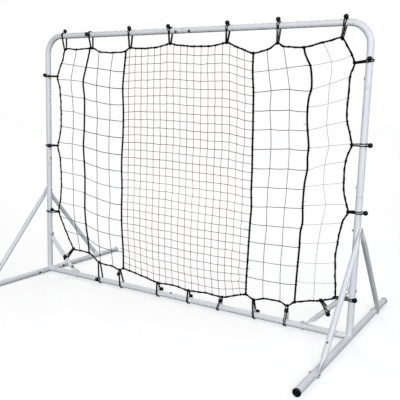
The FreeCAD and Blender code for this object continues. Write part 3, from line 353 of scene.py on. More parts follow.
twineLook = {
    "grey": (shade(0.012, 0.012, 0.013), shade(0.04, 0.04, 0.042)),
    "red": (shade(0.19, 0.013, 0.010), shade(0.31, 0.031, 0.024)),
    "maroon": (shade(0.15, 0.012, 0.009), shade(0.27, 0.030, 0.022)),
    "knot": (shade(0.04, 0.010, 0.008), shade(0.10, 0.020, 0.016)),
}
ply = {"turns": 260, "depth": 0.0003, "rough": 0.7, "gloss": 0.1}


def twineFibre(name, colours):
    # two-ply twine: a ply line that slants as sin(2u + turns v), loose fibres, a tint that drifts
    # along the net
    finish = Finish(name)
    u, v = finish.around()
    plies = ((u * 2 + v * ply["turns"]) * 2 * math.pi).sine() * 0.5 + 0.5
    fuzz = finish.noise(900, 2, 0.6)
    drift = finish.noise(9, 2, 0.5).ramp(0.3, 0.7)
    colour = finish.mix(plies * 0.35 + drift * 0.35, colours[0], colours[1])
    normal = finish.bump(plies + fuzz * 0.5, ply["depth"])
    return finish.done(colour=colour, rough=ply["rough"], normal=normal, gloss=ply["gloss"])


elastic = {
    "black": grey(0.0025),
    "thread": shade(0.012, 0.012, 0.013),
    "threads": 8,
    "threadTurns": 330,
    "threadDepth": 0.00018,
    "rough": 0.66,
    "gloss": 0.07,
    "sheen": 0.01,
}


def braidedCover(name, look):
    # two sets of threads cross on the cover: sin(threads u + turns v) and sin(threads u - turns v),
    # the higher on top
    finish = Finish(name)
    u, v = finish.around()
    turning = u * look["threads"]
    lean = v * look["threadTurns"]
    over = ((turning + lean) * 2 * math.pi).sine()
    under = ((turning - lean) * 2 * math.pi).sine()
    weave = over.high(under)
    colour = finish.mix(weave.ramp(0.2, 1.0) * 0.6, look["black"], look["thread"])
    normal = finish.bump(weave, look["threadDepth"])
    soft = {"gloss": look["gloss"], "sheen": look["sheen"], "sheenRough": 0.5}
    return finish.done(colour=colour, rough=look["rough"], normal=normal, **soft)


coat = powderCoat("powderCoat", powder)
plated = zincPlate("zincPlate", zinc)
buttonMetal = buttonPlate("buttonPlate", brass)
plugPlastic = blackPlastic("plugPlastic", plastic, 0.42, True)
ballPlastic = blackPlastic("ballPlastic", plastic, 0.34, False)
ropeMaterial = ropeFibre("ropeFibre", ropeLook)
greyTwine = twineFibre("greyTwine", twineLook["grey"])
redTwine = twineFibre("redTwine", twineLook["red"])
maroonTwine = twineFibre("maroonTwine", twineLook["maroon"])
knotTwine = twineFibre("knotTwine", twineLook["knot"])
elasticCover = braidedCover("braidedCover", elastic)
print("finishes made")

# every node gets the finish of its slot; it shows on those that no finer piece replaces
slotFinish = {
    "powder_coat": coat,
    "zinc_hardware": plated,
    "spring_strip": plated,
    "snap_button": buttonMetal,
    "end_plug": plugPlastic,
    "net_rope": ropeMaterial,
    "net_twine": greyTwine,
    "fine_twine": maroonTwine,
    "bungee_cord": elasticCover,
    "bungee_ball": ballPlastic,
}
for subpart in frame["record"]["subparts"]:
    node = frame["nodes"][subpart["node"]]
    node.data.materials.clear()
    node.data.materials.append(slotFinish[subpart["material_slot"]])
print("nodes painted")


# surfaces
def makePiece(name, grids, finishes, replaced=()):
    # each grid is (corners, along, closed, finish): corner [k, m, s] is point s of ring m on tube k,
    # along is the length at each ring and finish a place in the list of finishes; a tube that isn't
    # closed along its length gets a flat end on its first and last ring
    corners = []
    quads = []
    ends = []
    coordinates = []
    endCoordinates = []
    paint = []
    endPaint = []
    start = 0
    for shape, along, closed, finish in grids:
        tubes, rings, sides, _ = shape.shape
        corners.append(shape.reshape(-1, 3))
        index = start + np.arange(tubes * rings * sides).reshape(tubes, rings, sides)
        start += index.size
        following = np.roll(index, -1, axis=1) if closed else index[:, 1:]
        here = index if closed else index[:, :-1]
        right = np.roll(here, -1, axis=2)
        rightNext = np.roll(following, -1, axis=2)
        block = np.stack([here, right, rightNext, following], axis=-1).reshape(-1, 4)
        quads.append(block)
        paint.append(np.full(len(block), finish))
        u0 = np.broadcast_to(np.arange(sides) / sides, here.shape)
        u1 = u0 + 1 / sides
        v0 = np.broadcast_to(along[:, : here.shape[1], None], here.shape)
        v1 = v0 + along[:, 1:2, None] - along[:, 0:1, None]
        coordinates.append(np.stack([u0, v0, u1, v0, u1, v1, u0, v1], axis=-1).reshape(-1, 8))
        if not closed:
            low = index[:, 0, ::-1]
            high = index[:, -1, :]
            ends.extend(np.concatenate([low, high]).tolist())
            endPaint.extend([finish] * (2 * tubes))
            endCoordinates.extend([0.5] * (4 * tubes * sides))
    corners = np.concatenate(corners)
    quads = np.concatenate(quads)
    mesh = bpy.data.meshes.new(name)
    mesh.from_pydata(corners.tolist(), [], quads.tolist() + ends)
    flat = np.concatenate([np.concatenate(coordinates).ravel(), np.array(endCoordinates)])
    layer = mesh.uv_layers.new(name="around")
    layer.data.foreach_set("uv", flat)
    painted = np.concatenate([np.concatenate(paint), endPaint]).astype(int)
    mesh.polygons.foreach_set("material_index", painted)
    mesh.polygons.foreach_set("use_smooth", np.ones(len(mesh.polygons), dtype=bool))
    for finish in finishes:
        mesh.materials.append(finish)
    mesh.update()
    piece = bpy.data.objects.new(name, mesh)
    bpy.context.scene.collection.objects.link(piece)
    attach(piece, "frame")
    if replaced:
        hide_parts(*replaced)


def makeTubes(name, tubes, closed, finish, slotName, *replaced):
    # a piece of tubes of one finish
    shape, along = tubes
    makePiece(name, [(shape, along, closed, 0)], [finish], replaced)


def unit(vectors):
    # each vector over its own length
    return vectors / np.linalg.norm(vectors, axis=-1, keepdims=True)


def circled(angle, first, second):
    # a point at each angle on the circle of two ways: cos(angle) first + sin(angle) second
    return np.cos(angle)[..., None] * first + np.sin(angle)[..., None] * second


def lengthAlong(paths):
    # running length of each path, from 0 at its start
    steps = np.linalg.norm(np.diff(paths, axis=-2), axis=-1)
    return np.concatenate([np.zeros(steps.shape[:-1] + (1,)), np.cumsum(steps, axis=-1)], axis=-1)


def spacedOut(path, count, closed=False):
    # the same path with its points at equal running lengths
    line = np.concatenate([path, path[:1]]) if closed else path
    along = lengthAlong(line)
    wanted = np.linspace(0, along[-1], count, endpoint=not closed)
    return np.stack([np.interp(wanted, along, line[:, axis]) for axis in range(3)], axis=-1)


def throughPoints(points, perSpan, slack=None, closed=False):
    # cubic Hermite curve: each span from point a to point b leaves a along its tangent ma and comes
    # to b along mb, (2t3 - 3t2 + 1) a + (t3 - 2t2 + t) ma + (3t2 - 2t3) b + (t3 - t2) mb, where a
    # tangent looks from the neighbour before to the one after, times the point's slack
    if closed:
        before = np.roll(points, 1, axis=-2)
        after = np.roll(points, -1, axis=-2)
    else:
        before = np.concatenate([points[..., :1, :], points[..., :-1, :]], axis=-2)
        after = np.concatenate([points[..., 1:, :], points[..., -1:, :]], axis=-2)
    reach = np.linalg.norm(points - before, axis=-1) + np.linalg.norm(after - points, axis=-1)
    way = (after - before) / reach[..., None]
    if slack is not None:
        way = way * slack[..., None]
    nextPoint = np.roll(points, -1, axis=-2)
    nextWay = np.roll(way, -1, axis=-2)
    if not closed:
        points, way = points[..., :-1, :], way[..., :-1, :]
        nextPoint, nextWay = nextPoint[..., :-1, :], nextWay[..., :-1, :]
    chord = np.linalg.norm(nextPoint - points, axis=-1)[..., None, None]
    t = (np.arange(perSpan) / perSpan)[:, None]
    a, b = points[..., None, :], nextPoint[..., None, :]
    ma, mb = way[..., None, :] * chord, nextWay[..., None, :] * chord
    curve = (2 * t**3 - 3 * t**2 + 1) * a + (t**3 - 2 * t**2 + t) * ma
    curve = curve + (3 * t**2 - 2 * t**3) * b + (t**3 - t**2) * mb
    curve = curve.reshape(points.shape[:-2] + (-1, 3))
    if closed:
        return curve
    return np.concatenate([curve, nextPoint[..., -1:, :]], axis=-2)


def tubeAlong(paths, side, radius, sides, closed=False, lobes=0, depth=0, lay=1):
    # a ring round each point of a path: point + r (cos(a) normal + sin(a) binormal), where the
    # normal stands on the path and on the given side; a laid rope has
    # r = radius (1 - depth + depth |cos(lobes / 2 (a - 2 pi s / lay))|) at the length s
    if closed:
        tangent = np.roll(paths, -1, axis=1) - np.roll(paths, 1, axis=1)
        looped = np.concatenate([paths, paths[:, :1]], axis=1)
        along = lengthAlong(looped)[:, :-1]
    else:
        tangent = np.gradient(paths, axis=1)
        along = lengthAlong(paths)
    tangent = unit(tangent)
    normal = unit(np.cross(tangent, side))
    binormal = np.cross(tangent, normal)
    angle = 2 * math.pi * np.arange(sides) / sides
    spread = np.ones(along.shape + (sides,))
    if lobes:
        turned = lobes / 2 * (angle - 2 * math.pi * along[..., None] / lay)
        spread = 1 - depth + depth * np.abs(np.cos(turned))
    reach = (radius * spread)[..., None]
    ring = circled(angle, normal[:, :, None, :], binormal[:, :, None, :])
    return paths[:, :, None, :] + reach * ring, along


def coils(centres, ways, reach, length, turns, steps, cord, sides):
    # a helix round each centre's way: centre + way length (t / T - 1/2) + reach (cos(t) normal
    # + sin(t) binormal), where t runs from 0 to T = 2 pi turns
    t = np.linspace(0, 2 * math.pi * turns, steps)
    ways = unit(np.array(ways))[:, None, :]
    normal = unit(np.cross(ways, frontWay))
    turned = circled(t, normal, np.cross(ways, normal))
    onward = ways * (t / t.max() - 0.5)[:, None] * length
    path = np.array(centres)[:, None, :] + onward + reach * turned
    return tubeAlong(path, ways, cord, sides)


def turnedShape(profile, centres, ways, sides):
    # a profile of (radius, height) turned about each centre's way:
    # centre + height way + radius (cos(a) first + sin(a) second), all three at right angles
    ways = unit(np.asarray(ways, dtype=float))
    helper = np.where(np.abs(ways[:, 2:3]) > 0.8, [[1.0, 0.0, 0.0]], [[0.0, 0.0, 1.0]])
    first = unit(np.cross(helper, ways))
    second = np.cross(ways, first)
    angle = 2 * math.pi * np.arange(sides) / sides
    ring = circled(angle, first[:, None, None, :], second[:, None, None, :])
    radius = profile[:, 0][None, :, None, None]
    height = profile[:, 1][None, :, None, None]
    shape = np.asarray(centres)[:, None, None, :] + height * ways[:, None, None, :] + radius * ring
    along = np.broadcast_to(lengthAlong(profile)[None], (len(ways), len(profile)))
    return shape, along


# the net's ropes: x and height over the bottom rail's line in millimetres, and a name
borderPoints = [
    (-841, 1378, "top_1"), (-745, 1373, ""), (-646, 1378, "divider_1_top"), (-632, 1380, "top_2"),
    (-600, 1368, ""), (-575, 1356, ""), (-476, 1349, ""), (-386, 1354, "divider_2_top"),
    (-351, 1375, "top_3"), (-312, 1368, ""), (-213, 1368, ""), (-150, 1374, ""), (-84, 1389, "top_4"),
    (-51, 1381, ""), (27, 1372, ""), (120, 1368, ""), (196, 1371, ""), (260, 1384, "top_5"),
    (323, 1358, ""), (411, 1328, "divider_3_top"), (490, 1345, ""), (538, 1374, "top_6"),
    (569, 1356, ""), (614, 1352, ""), (673, 1349, "divider_4_top"), (785, 1373, ""),
    (853, 1387, "top_7"), (919, 1275, "right_1"), (903, 1225, ""), (899, 1110, ""), (899, 1030, ""),
    (931, 909, "right_2"), (909, 840, ""), (905, 745, ""), (913, 672, ""), (936, 599, "right_3"),
    (912, 545, ""), (897, 455, ""), (890, 376, ""), (895, 290, ""), (901, 178, "right_4"),
    (835, 149, "right_5"), (767, 133, ""), (699, 113, "divider_4_low"), (661, 85, "bottom_7"),
    (623, 100, ""), (528, 97, ""), (473, 79, "bottom_6"), (428, 100, "divider_3_low"), (350, 76, ""),
    (286, 56, "bottom_5"), (192, 61, ""), (75, 52, "bottom_4"), (-33, 64, ""), (-134, 57, "bottom_3"),
    (-195, 70, ""), (-258, 81, ""), (-384, 100, "divider_2_low"), (-412, 85, "bottom_2"),
    (-463, 99, ""), (-520, 101, ""), (-570, 104, "bottom_1"), (-607, 128, ""),
    (-652, 153, "divider_1_low"), (-733, 156, ""), (-782, 160, "left_4"), (-906, 380, "left_3"),
    (-893, 440, ""), (-882, 530, ""), (-883, 640, ""), (-893, 735, ""), (-911, 796, "left_2"),
    (-895, 842, ""), (-883, 895, ""), (-879, 960, ""), (-881, 1060, ""), (-888, 1140, ""),
    (-908, 1217, "left_1"), (-863, 1316, ""),
]
# the dividing ropes from the left, each from the top down
dividerPoints = [
    [
        (-646, 1378), (-656, 1339), (-679, 1267), (-701, 1186), (-692, 1105), (-688, 1050),
        (-690, 898), (-695, 808), (-685, 646), (-686, 502), (-688, 430), (-684, 367), (-674, 295),
        (-661, 232), (-652, 153),
    ],
    [
        (-381, 1355), (-388, 1294), (-396, 1231), (-403, 1159), (-400, 1078), (-397, 1015),
        (-398, 880), (-403, 790), (-404, 695), (-399, 585), (-400, 475), (-399, 385), (-395, 313),
        (-389, 241), (-385, 170), (-384, 100),
    ],
    [
        (411, 1328), (411, 1258), (414, 1204), (420, 1141), (423, 1060), (427, 970), (430, 862),
        (434, 754), (434, 646), (438, 565), (434, 484), (431, 385), (429, 268), (427, 178), (428, 100),
    ],
    [
        (673, 1349), (680, 1321), (695, 1290), (711, 1258), (721, 1168), (710, 1114), (707, 1051),
        (711, 988), (724, 889), (722, 835), (725, 781), (716, 715), (713, 610), (717, 520), (709, 475),
        (708, 394), (704, 295), (701, 205), (699, 113),
    ],
]
frontWay = np.array([0.0, -1.0, 0.0])
backWay = -frontWay


def inFrame(x, height):
    # millimetres in the net's plane to metres in the frame
    return np.array([x / 1000, 0, layout["railZ"] + height / 1000])


rope = {
    "border": 0.0042, "divider": 0.0050, "sides": 18, "lobes": 3, "lay": 3.1, "depth": 0.15,
    "crown": 1.04, "step": 0.75, "perSpan": 24, "swing": 0.003,
    "tiedSlack": 0.45, "meetingSlack": 0.6, "freeSlack": 0.85,
}
borderKeys = np.array([inFrame(x, height) for x, height, name in borderPoints])
borderNames = [name for x, height, name in borderPoints]
# bends are sharper where the rope is tied or meets a dividing rope, by shorter tangents
tied = np.array([name.split("_")[0] in ("top", "bottom", "left", "right") for name in borderNames])
meeting = np.array([name.startswith("divider") for name in borderNames])
borderSlack = np.where(meeting, rope["meetingSlack"], rope["freeSlack"])
borderSlack = np.where(tied, rope["tiedSlack"], borderSlack)
borderCurve = throughPoints(borderKeys, rope["perSpan"], borderSlack, closed=True)


def borderAt(name):
    # where a named point is on the border curve
    return borderNames.index(name) * rope["perSpan"]


def borderWay(index, step):
    # from the point a few steps before to the one as many steps after
    return borderCurve[(index + step) % len(borderCurve)] - borderCurve[index - step]


def laidRope(name, path, radius, closed, node):
    # a tube of three lobes that turn round it once in each lay; lay is in diameters, step in radii
    count = int(lengthAlong(path)[-1] / (radius * rope["step"]))
    line = spacedOut(path, count, closed)[None]
    laid = (rope["lobes"], rope["depth"], rope["lay"] * 2 * radius)
    tubes = tubeAlong(line, backWay, radius * rope["crown"], rope["sides"], closed, *laid)
    makeTubes(name, tubes, closed, ropeMaterial, "net_rope", node)


laidRope("borderRope", borderCurve, rope["border"], True, "border_rope")
dividerCurves = []
for number, points in enumerate(dividerPoints, start=1):
    keys = np.array([inFrame(x, height) for x, height in points])
    # each hangs a little out of the net's plane, in two or three gentle waves
    share = np.linspace(0, math.pi, len(keys))
    keys[:, 1] += rope["swing"] * np.sin(share * (2 + number % 2)) * np.sin(share)
    curve = throughPoints(keys, rope["perSpan"])
    dividerCurves.append(curve)
    laidRope(f"dividerRope{number}", curve, rope["divider"], False, f"divider_rope_{number}")
print("ropes laid")


# the net between the ropes
def borderStretch(first, last):
    # the shorter stretch of the border curve from one named point to another
    start = borderAt(first)
    stop = borderAt(last)
    total = len(borderCurve)
    onward = (stop - start) % total
    if onward <= total / 2:
        return borderCurve[(start + np.arange(onward + 1)) % total]
    return borderCurve[(start - np.arange(total - onward + 1)) % total]


# Each panel, in millimetres: the edges it hangs between, where its columns are at some heights and
# how high its rows are at some distances from the middle. A pair of columns stands for the first
# and the last of evenly spaced ones, and the rows between listed numbers are evenly spaced too.
netPanels = [
    {
        "left": ("left_4", "top_1"), "right": 0, "twine": 0.0030, "columns": 1,
        "heights": [1372, 1330, 1280, 1230, 1180, 1130, 1080, 980, 880, 830, 730, 580, 380, 280,
                    230, 158],
        "columnX": [[-750, -762, -776, -790, -801, -793, -787, -779, -787, -797, -792, -786, -784,
                     -757, -746, -728]],
        "stations": [-870, -760, -690],
        "rows": {
            1: [1294, 1282, 1270], 2: [1199, 1192, 1185], 3: [1110, 1098, 1092], 4: [1013, 1007, 996],
            5: [917, 907, 899], 6: [818, 813, 807], 7: [727, 721, 716], 8: [638, 625, 623],
            9: [540, 532, 524], 10: [443, 434, 430], 11: [353, 335, 332], 12: [268, 257, 248],
        },
    },
    {
        "left": 0, "right": 1, "twine": 0.0038, "columns": 2,
        "heights": [1355, 1310, 1250, 1180, 1090, 990, 890, 780, 660, 560, 460, 360, 250, 220,
                    180, 100],
        "columnX": [
            [-578, -583, -589, -597, -595, -593, -596, -598, -594, -593, -592, -592, -583, -577,
             -569, -560],
            [-474, -483, -492, -499, -498, -497, -503, -503, -501, -494, -492, -499, -491, -483,
             -476, -463],
        ],
        "stations": [-690, -640, -570, -520, -470, -415],
        "rows": {
            1: [1270, 1267, 1260, 1253, 1248, 1244], 2: [1186, 1174, 1161, 1153, 1152, 1150],
            3: [1090, 1081, 1069, 1062, 1058, 1059], 4: [993, 984, 974, 970, 966, 965],
            5: [898, 889, 880, 875, 873, 871], 6: [805, 795, 783, 778, 775, 773],
            7: [712, 700, 686, 680, 676, 679], 8: [619, 605, 589, 582, 579, 579],
            9: [521, 508, 493, 484, 480, 484], 10: [426, 410, 391, 390, 388, 388],
            11: [330, 314, 297, 295, 293, 295], 12: [253, 235, 204, 198, 197, 200],
        },
    },
    {
        "left": 1, "right": 2, "twine": 0.0028, "columns": 18,
        "heights": [1375, 1330, 1250, 1130, 1000, 870, 740, 610, 480, 350, 230, 160, 110, 70],
        "columnX": [
            [-355, -356, -358, -360, -359, -357, -357, -356, -358, -356, -347, -340, -337, -334],
            [364, 363, 366, 373, 378, 382, 380, 385, 383, 381, 382, 384, 393, 398],
        ],
        "stations": [-380, -335, -160, -77, 94, 265, 305, 345, 395],
        "rows": {
            1: [1320, 1324, 1329, 1335, 1322, 1327, 1313, 1301, 1286],
            7: [1059, 1066, 1070, 1072, 1062, 1064, 1060, 1050, 1038],
            13: [803, 807, 807, 807, 800, 798, 797, 791, 783],
            19: [542, 546, 543, 545, 537, 535, 535, 532, 527],
            25: [289, 291, 279, 278, 273, 275, 277, 278, 278],
            26: [245, 249, 236, 236, 230, 232, 234, 238, 238],
            27: [218, 211, 192, 194, 186, 189, 194, 198, 203],
            29: [139, 130, 108, 106, 99, 100, 106, 114, 129],
        },
    },
    {
        "left": 2, "right": 3, "twine": 0.0031, "columns": 2,
        "heights": [1350, 1250, 1150, 1050, 950, 850, 750, 650, 550, 450, 350, 250, 150, 100],
        "columnX": [
            [486, 497, 515, 514, 524, 529, 527, 520, 523, 523, 519, 520, 523, 527],
            [569, 592, 612, 613, 619, 626, 623, 620, 616, 618, 614, 614, 617, 621],
        ],
        "stations": [440, 495, 545, 595, 640, 690],
        "rows": {
            1: [1236, 1243, 1257, 1257, 1261, 1268], 2: [1139, 1147, 1153, 1158, 1154, 1149],
            3: [1048, 1051, 1055, 1059, 1058, 1052], 4: [954, 958, 962, 963, 964, 962],
            5: [856, 861, 866, 870, 872, 871], 6: [762, 764, 768, 772, 776, 776],
            7: [667, 670, 673, 677, 679, 682], 8: [566, 573, 578, 579, 584, 590],
            9: [478, 479, 481, 483, 485, 490], 10: [384, 384, 384, 386, 389, 393],
            11: [287, 287, 289, 290, 293, 300], 12: [196, 194, 192, 192, 198, 205],
        },
    },
    {
        "left": 3, "right": ("right_4", "top_7"), "twine": 0.0014, "columns": 1,
        "heights": [1370, 1320, 1280, 1240, 1180, 1060, 1000, 940, 890, 840, 720, 660, 600, 540,
                    420, 360, 141],
        "columnX": [[765, 785, 811, 809, 806, 807, 802, 815, 824, 812, 806, 815, 824, 812, 800,
                     794, 796]],
        "stations": [730, 755, 800, 850, 890],
        "rows": {
            1: [1265, 1271, 1280, 1294, 1308], 2: [1157, 1166, 1183, 1201, 1215],
            3: [1075, 1081, 1091, 1104, 1119], 4: [967, 975, 991, 1003, 1015],
            5: [882, 885, 892, 905, 914], 6: [776, 789, 807, 821, 831],
            7: [697, 703, 713, 723, 732], 8: [603, 607, 616, 623, 632],
            9: [510, 514, 523, 532, 543], 10: [417, 423, 430, 440, 450], 11: [320, 324, 329, 340, 348],
            12: [223, 227, 230, 240, 248],
        },
    },
]
panelCorners = [(f"divider_{number}_low", f"divider_{number}_top") for number in range(1, 5)]
netLook = {
    "sides": 6, "slack": 0.55, "loose": 0.0012, "backward": 0.5, "bulge": 0.005, "jitter": 0.0008,
    "rowTwine": (0.88, 1.12), "columnTwine": (0.82, 1.18),
    "knotTilt": 0.35, "knotFlat": 0.8, "knotRings": 5,
    "wornPlace": (0.37, 0.27), "wornReach": (0.05, 0.09), "wornSlack": 5,
}
# wraps where a strand ends on a rope: how far out the cord lies and how long a wrap is, in cords
wrap = {"cord": 0.0028, "out": 0.4, "length": 1.6, "turns": 1.6, "steps": 18, "sides": 5}
# how the coarse and the fine panels differ: steps between knots, sag, looseness and knots' size
coarseLook = {"perSpan": 8, "sag": 0.0018, "loose": 1, "knot": 1.55}
fineLook = {"perSpan": 4, "sag": 0.0007, "loose": 0.5, "knot": 2.0}


def onCurve(curve, axis, value):
    # the points of a curve whose x or z has given values, for a curve that rises or falls all along
    order = np.argsort(curve[:, axis], kind="stable")
    return np.stack([np.interp(value, curve[order, axis], curve[order, k]) for k in range(3)], axis=-1)


def netNodes(panel):
    # row i and column j cross where x is column j's at the height z and z is row i's at the distance x
    sides = []
    corners = []
    for side in ("left", "right"):
        if isinstance(panel[side], tuple):
            sides.append(borderStretch(*panel[side]))
            corners.append(panel[side])
        else:
            sides.append(dividerCurves[panel[side]][::-1])
            corners.append(panelCorners[panel[side]])
    low = borderStretch(corners[0][0], corners[1][0])
    high = borderStretch(corners[0][1], corners[1][1])
    numbers = sorted(panel["rows"])
    listed = np.array([panel["rows"][number] for number in numbers], dtype=float) / 1000
    every = np.arange(1, numbers[-1] + 1)
    heights = np.stack([np.interp(every, numbers, column) for column in listed.T], axis=-1)
    heights += layout["railZ"]
    stations = np.array(panel["stations"]) / 1000
    guides = np.array(panel["columnX"], dtype=float) / 1000
    if panel["columns"] > len(guides):
        share = np.linspace(0, 1, panel["columns"])[:, None]
        guides = guides[0] + (guides[1] - guides[0]) * share
    guideZ = np.array(panel["heights"][::-1]) / 1000 + layout["railZ"]
    guides = guides[:, ::-1]
    nodes = np.zeros((len(every) + 2, len(guides) + 2, 3))

    def rowAt(x):
        # each row's height at its own distances from the middle
        return np.stack([np.interp(x[i], stations, heights[i]) for i in range(len(every))])

    # a row slopes and a column leans, so that their crossings are found in a few rounds
    inner = np.repeat(guides.mean(axis=1)[None], len(every), axis=0)
    edges = [np.full(len(every), curve[:, 0].mean()) for curve in sides]
    for _ in range(4):
        z = rowAt(inner)
        inner = np.stack([np.interp(z[:, j], guideZ, guides[j]) for j in range(len(guides))], axis=-1)
        edges = [onCurve(curve, 2, rowAt(x))[:, 0] for curve, x in zip(sides, edges)]
    nodes[1:-1, 1:-1, 0], nodes[1:-1, 1:-1, 2] = inner, rowAt(inner)
    nodes[1:-1, 0] = onCurve(sides[0], 2, rowAt(edges[0]))
    nodes[1:-1, -1] = onCurve(sides[1], 2, rowAt(edges[1]))
    nodes[0, 1:-1] = onCurve(high, 0, guides[:, -1])
    nodes[-1, 1:-1] = onCurve(low, 0, guides[:, 0])
    # the corners only give the wraps beside them a direction
    for row, curve in ((0, high), (-1, low)):
        nodes[row, 0] = curve[np.argmin(curve[:, 0])]
        nodes[row, -1] = curve[np.argmax(curve[:, 0])]
    return nodes


def knots(centres, radius):
    # small flattened beads turned from a half circle, each turned its own way
    t = np.linspace(0, math.pi, netLook["knotRings"])
    height = -np.cos(t) * radius * netLook["knotFlat"]
    profile = np.stack([np.sin(t) * radius + 1e-5, height], axis=-1)
    ways = chance.normal(size=(len(centres), 3)) * netLook["knotTilt"] + frontWay
    return turnedShape(profile, centres, ways, netLook["sides"])


def hang(nodes, perSpan, axis, sag, loose):
    # strands through their knots, each span bowed by 4 t (1 - t) times its own sag: rows sag, and
    # columns bow to either side
    strands = throughPoints(nodes, perSpan, np.full(nodes.shape[:2], netLook["slack"]))
    spans = nodes.shape[1] - 1
    bow = np.abs(chance.normal(sag, loose, size=(len(nodes), spans)))
    if axis == 0:
        bow = chance.normal(0, loose, size=(len(nodes), spans))
    middle = (nodes[:, 1:] + nodes[:, :-1]) / 2
    # a few spans are slack where the net is worn, low down beside the third dividing rope
    away = np.abs(middle[..., ::2] - netLook["wornPlace"])
    worn = (away < netLook["wornReach"]).all(axis=-1)
    bow = np.where(worn & (spans > 10), bow * netLook["wornSlack"], bow)
    t = np.arange(perSpan) / perSpan
    shape = (4 * t * (1 - t))[None, None] * bow[..., None]
    strands[:, :-1, axis] -= shape.reshape(len(nodes), -1)
    strands[:, :-1, 1] += shape.reshape(len(nodes), -1) * netLook["backward"]
    return strands


def netPanel(number, panel):
    # rows and columns of twine through the panel's knots, with wraps where they end on a rope; the
    # middle hangs back by bulge sin(pi i) sin(pi j), with i and j from 0 to 1 over the panel
    fine = panel["columns"] > 10
    look = fineLook if fine else coarseLook
    nodes = netNodes(panel)
    across = np.linspace(0, math.pi, nodes.shape[1])
    up = np.linspace(0, math.pi, nodes.shape[0])
    nodes[1:-1, 1:-1] += chance.normal(size=nodes[1:-1, 1:-1].shape) * netLook["jitter"]
    nodes[..., 1] += np.sin(across) * np.sin(up)[:, None] * netLook["bulge"]
    loose = netLook["loose"] * look["loose"]
    rows = hang(nodes[1:-1], look["perSpan"], 2, look["sag"], loose)
    upright = np.swapaxes(nodes, 0, 1)
    columns = hang(upright[1:-1], look["perSpan"], 0, 0, loose)
    radius = panel["twine"] / 2
    # strands differ a little in thickness
    rowRadii = radius * chance.uniform(*netLook["rowTwine"], size=(len(rows), 1, 1))
    columnRadii = radius * chance.uniform(*netLook["columnTwine"], size=(len(columns), 1, 1))
    rowTubes, rowAlong = tubeAlong(rows, backWay, rowRadii, netLook["sides"])
    columnTubes, columnAlong = tubeAlong(columns, backWay, columnRadii, netLook["sides"])
    beads, beadAlong = knots(nodes[1:-1, 1:-1].reshape(-1, 3), radius * look["knot"])
    edges = [nodes[:, 0], nodes[:, -1], nodes[0], nodes[-1]]
    rim = np.concatenate([edge[1:-1] for edge in edges])
    ways = np.concatenate([np.gradient(edge, axis=0)[1:-1] for edge in edges])
    cord = wrap["cord"]
    reach = rope["border"] + cord * wrap["out"]
    length = cord * wrap["length"]
    wrapTubes, wrapAlong = coils(
        rim, ways, reach, length, wrap["turns"], wrap["steps"], cord / 2, wrap["sides"]
    )
    grids = [
        (rowTubes, rowAlong, False, 0),
        (columnTubes, columnAlong, False, 1),
        (beads, beadAlong, False, 2),
        (wrapTubes, wrapAlong, False, 3),
    ]
    finishes = [redTwine, maroonTwine, knotTwine] if fine else [greyTwine] * 3
    finishes.append(ropeMaterial)
    makePiece(f"netPanel{number}", grids, finishes, [f"net_panel_{number}"])


for number, panel in enumerate(netPanels, start=1):
    netPanel(number, panel)
print("net knotted")

# the cord that laces the net's edge to the border rope, and lashings where dividing ropes meet it;
# out is how far from the rope a cord's middle lies, in the cord's radii
lacing = {
    "cord": 0.0011, "out": 0.9, "pitch": 0.085, "drift": 0.9, "waves": (3, 7, 16), "step": 0.004,
    "sides": 5,
}
lashing = {"turns": 4, "cord": 0.0017, "out": 0.8, "length": 0.013, "perTurn": 12, "sides": 6}


def edgeLacing():
    # a helix along the border curve: point + r (cos(f) normal + sin(f) binormal), where
    # f = 2 pi length / pitch plus a slow drift of three sines
    along = lengthAlong(np.concatenate([borderCurve, borderCurve[:1]]))
    total = along[-1]
    line = spacedOut(borderCurve, int(total / lacing["step"]), closed=True)
    tangent = unit(np.roll(line, -1, axis=0) - np.roll(line, 1, axis=0))
    normal = unit(np.cross(tangent, frontWay))
    s = np.linspace(0, 1, len(line), endpoint=False)
    turns = round(total / lacing["pitch"])
    phase = 2 * math.pi * s * turns
    for wave, start in zip(lacing["waves"], chance.uniform(0, 2 * math.pi, 3)):
        phase = phase + lacing["drift"] * np.sin(2 * math.pi * wave * s + start)
    turned = circled(phase, normal, np.cross(tangent, normal))
    line = line + turned * (rope["border"] + lacing["cord"] * lacing["out"])
    tubes = tubeAlong(line[None], backWay, lacing["cord"], lacing["sides"], closed=True)
    makeTubes("edgeLacing", tubes, True, ropeMaterial, "net_rope")


def lashings():
    # a short coil round the border rope wherever a dividing rope meets it
    spots = []
    ways = []
    for pair in panelCorners:
        for name in pair:
            spots.append(borderCurve[borderAt(name)])
            ways.append(borderWay(borderAt(name), 3))
    turns, cord = lashing["turns"], lashing["cord"]
    steps = lashing["perTurn"] * turns + 1
    reach = rope["border"] + cord * lashing["out"]
    tubes = coils(spots, ways, reach, lashing["length"], turns, steps, cord, lashing["sides"])
    makeTubes("ropeLashings", tubes, False, ropeMaterial, "net_rope")


edgeLacing()
lashings()
print("edge laced")

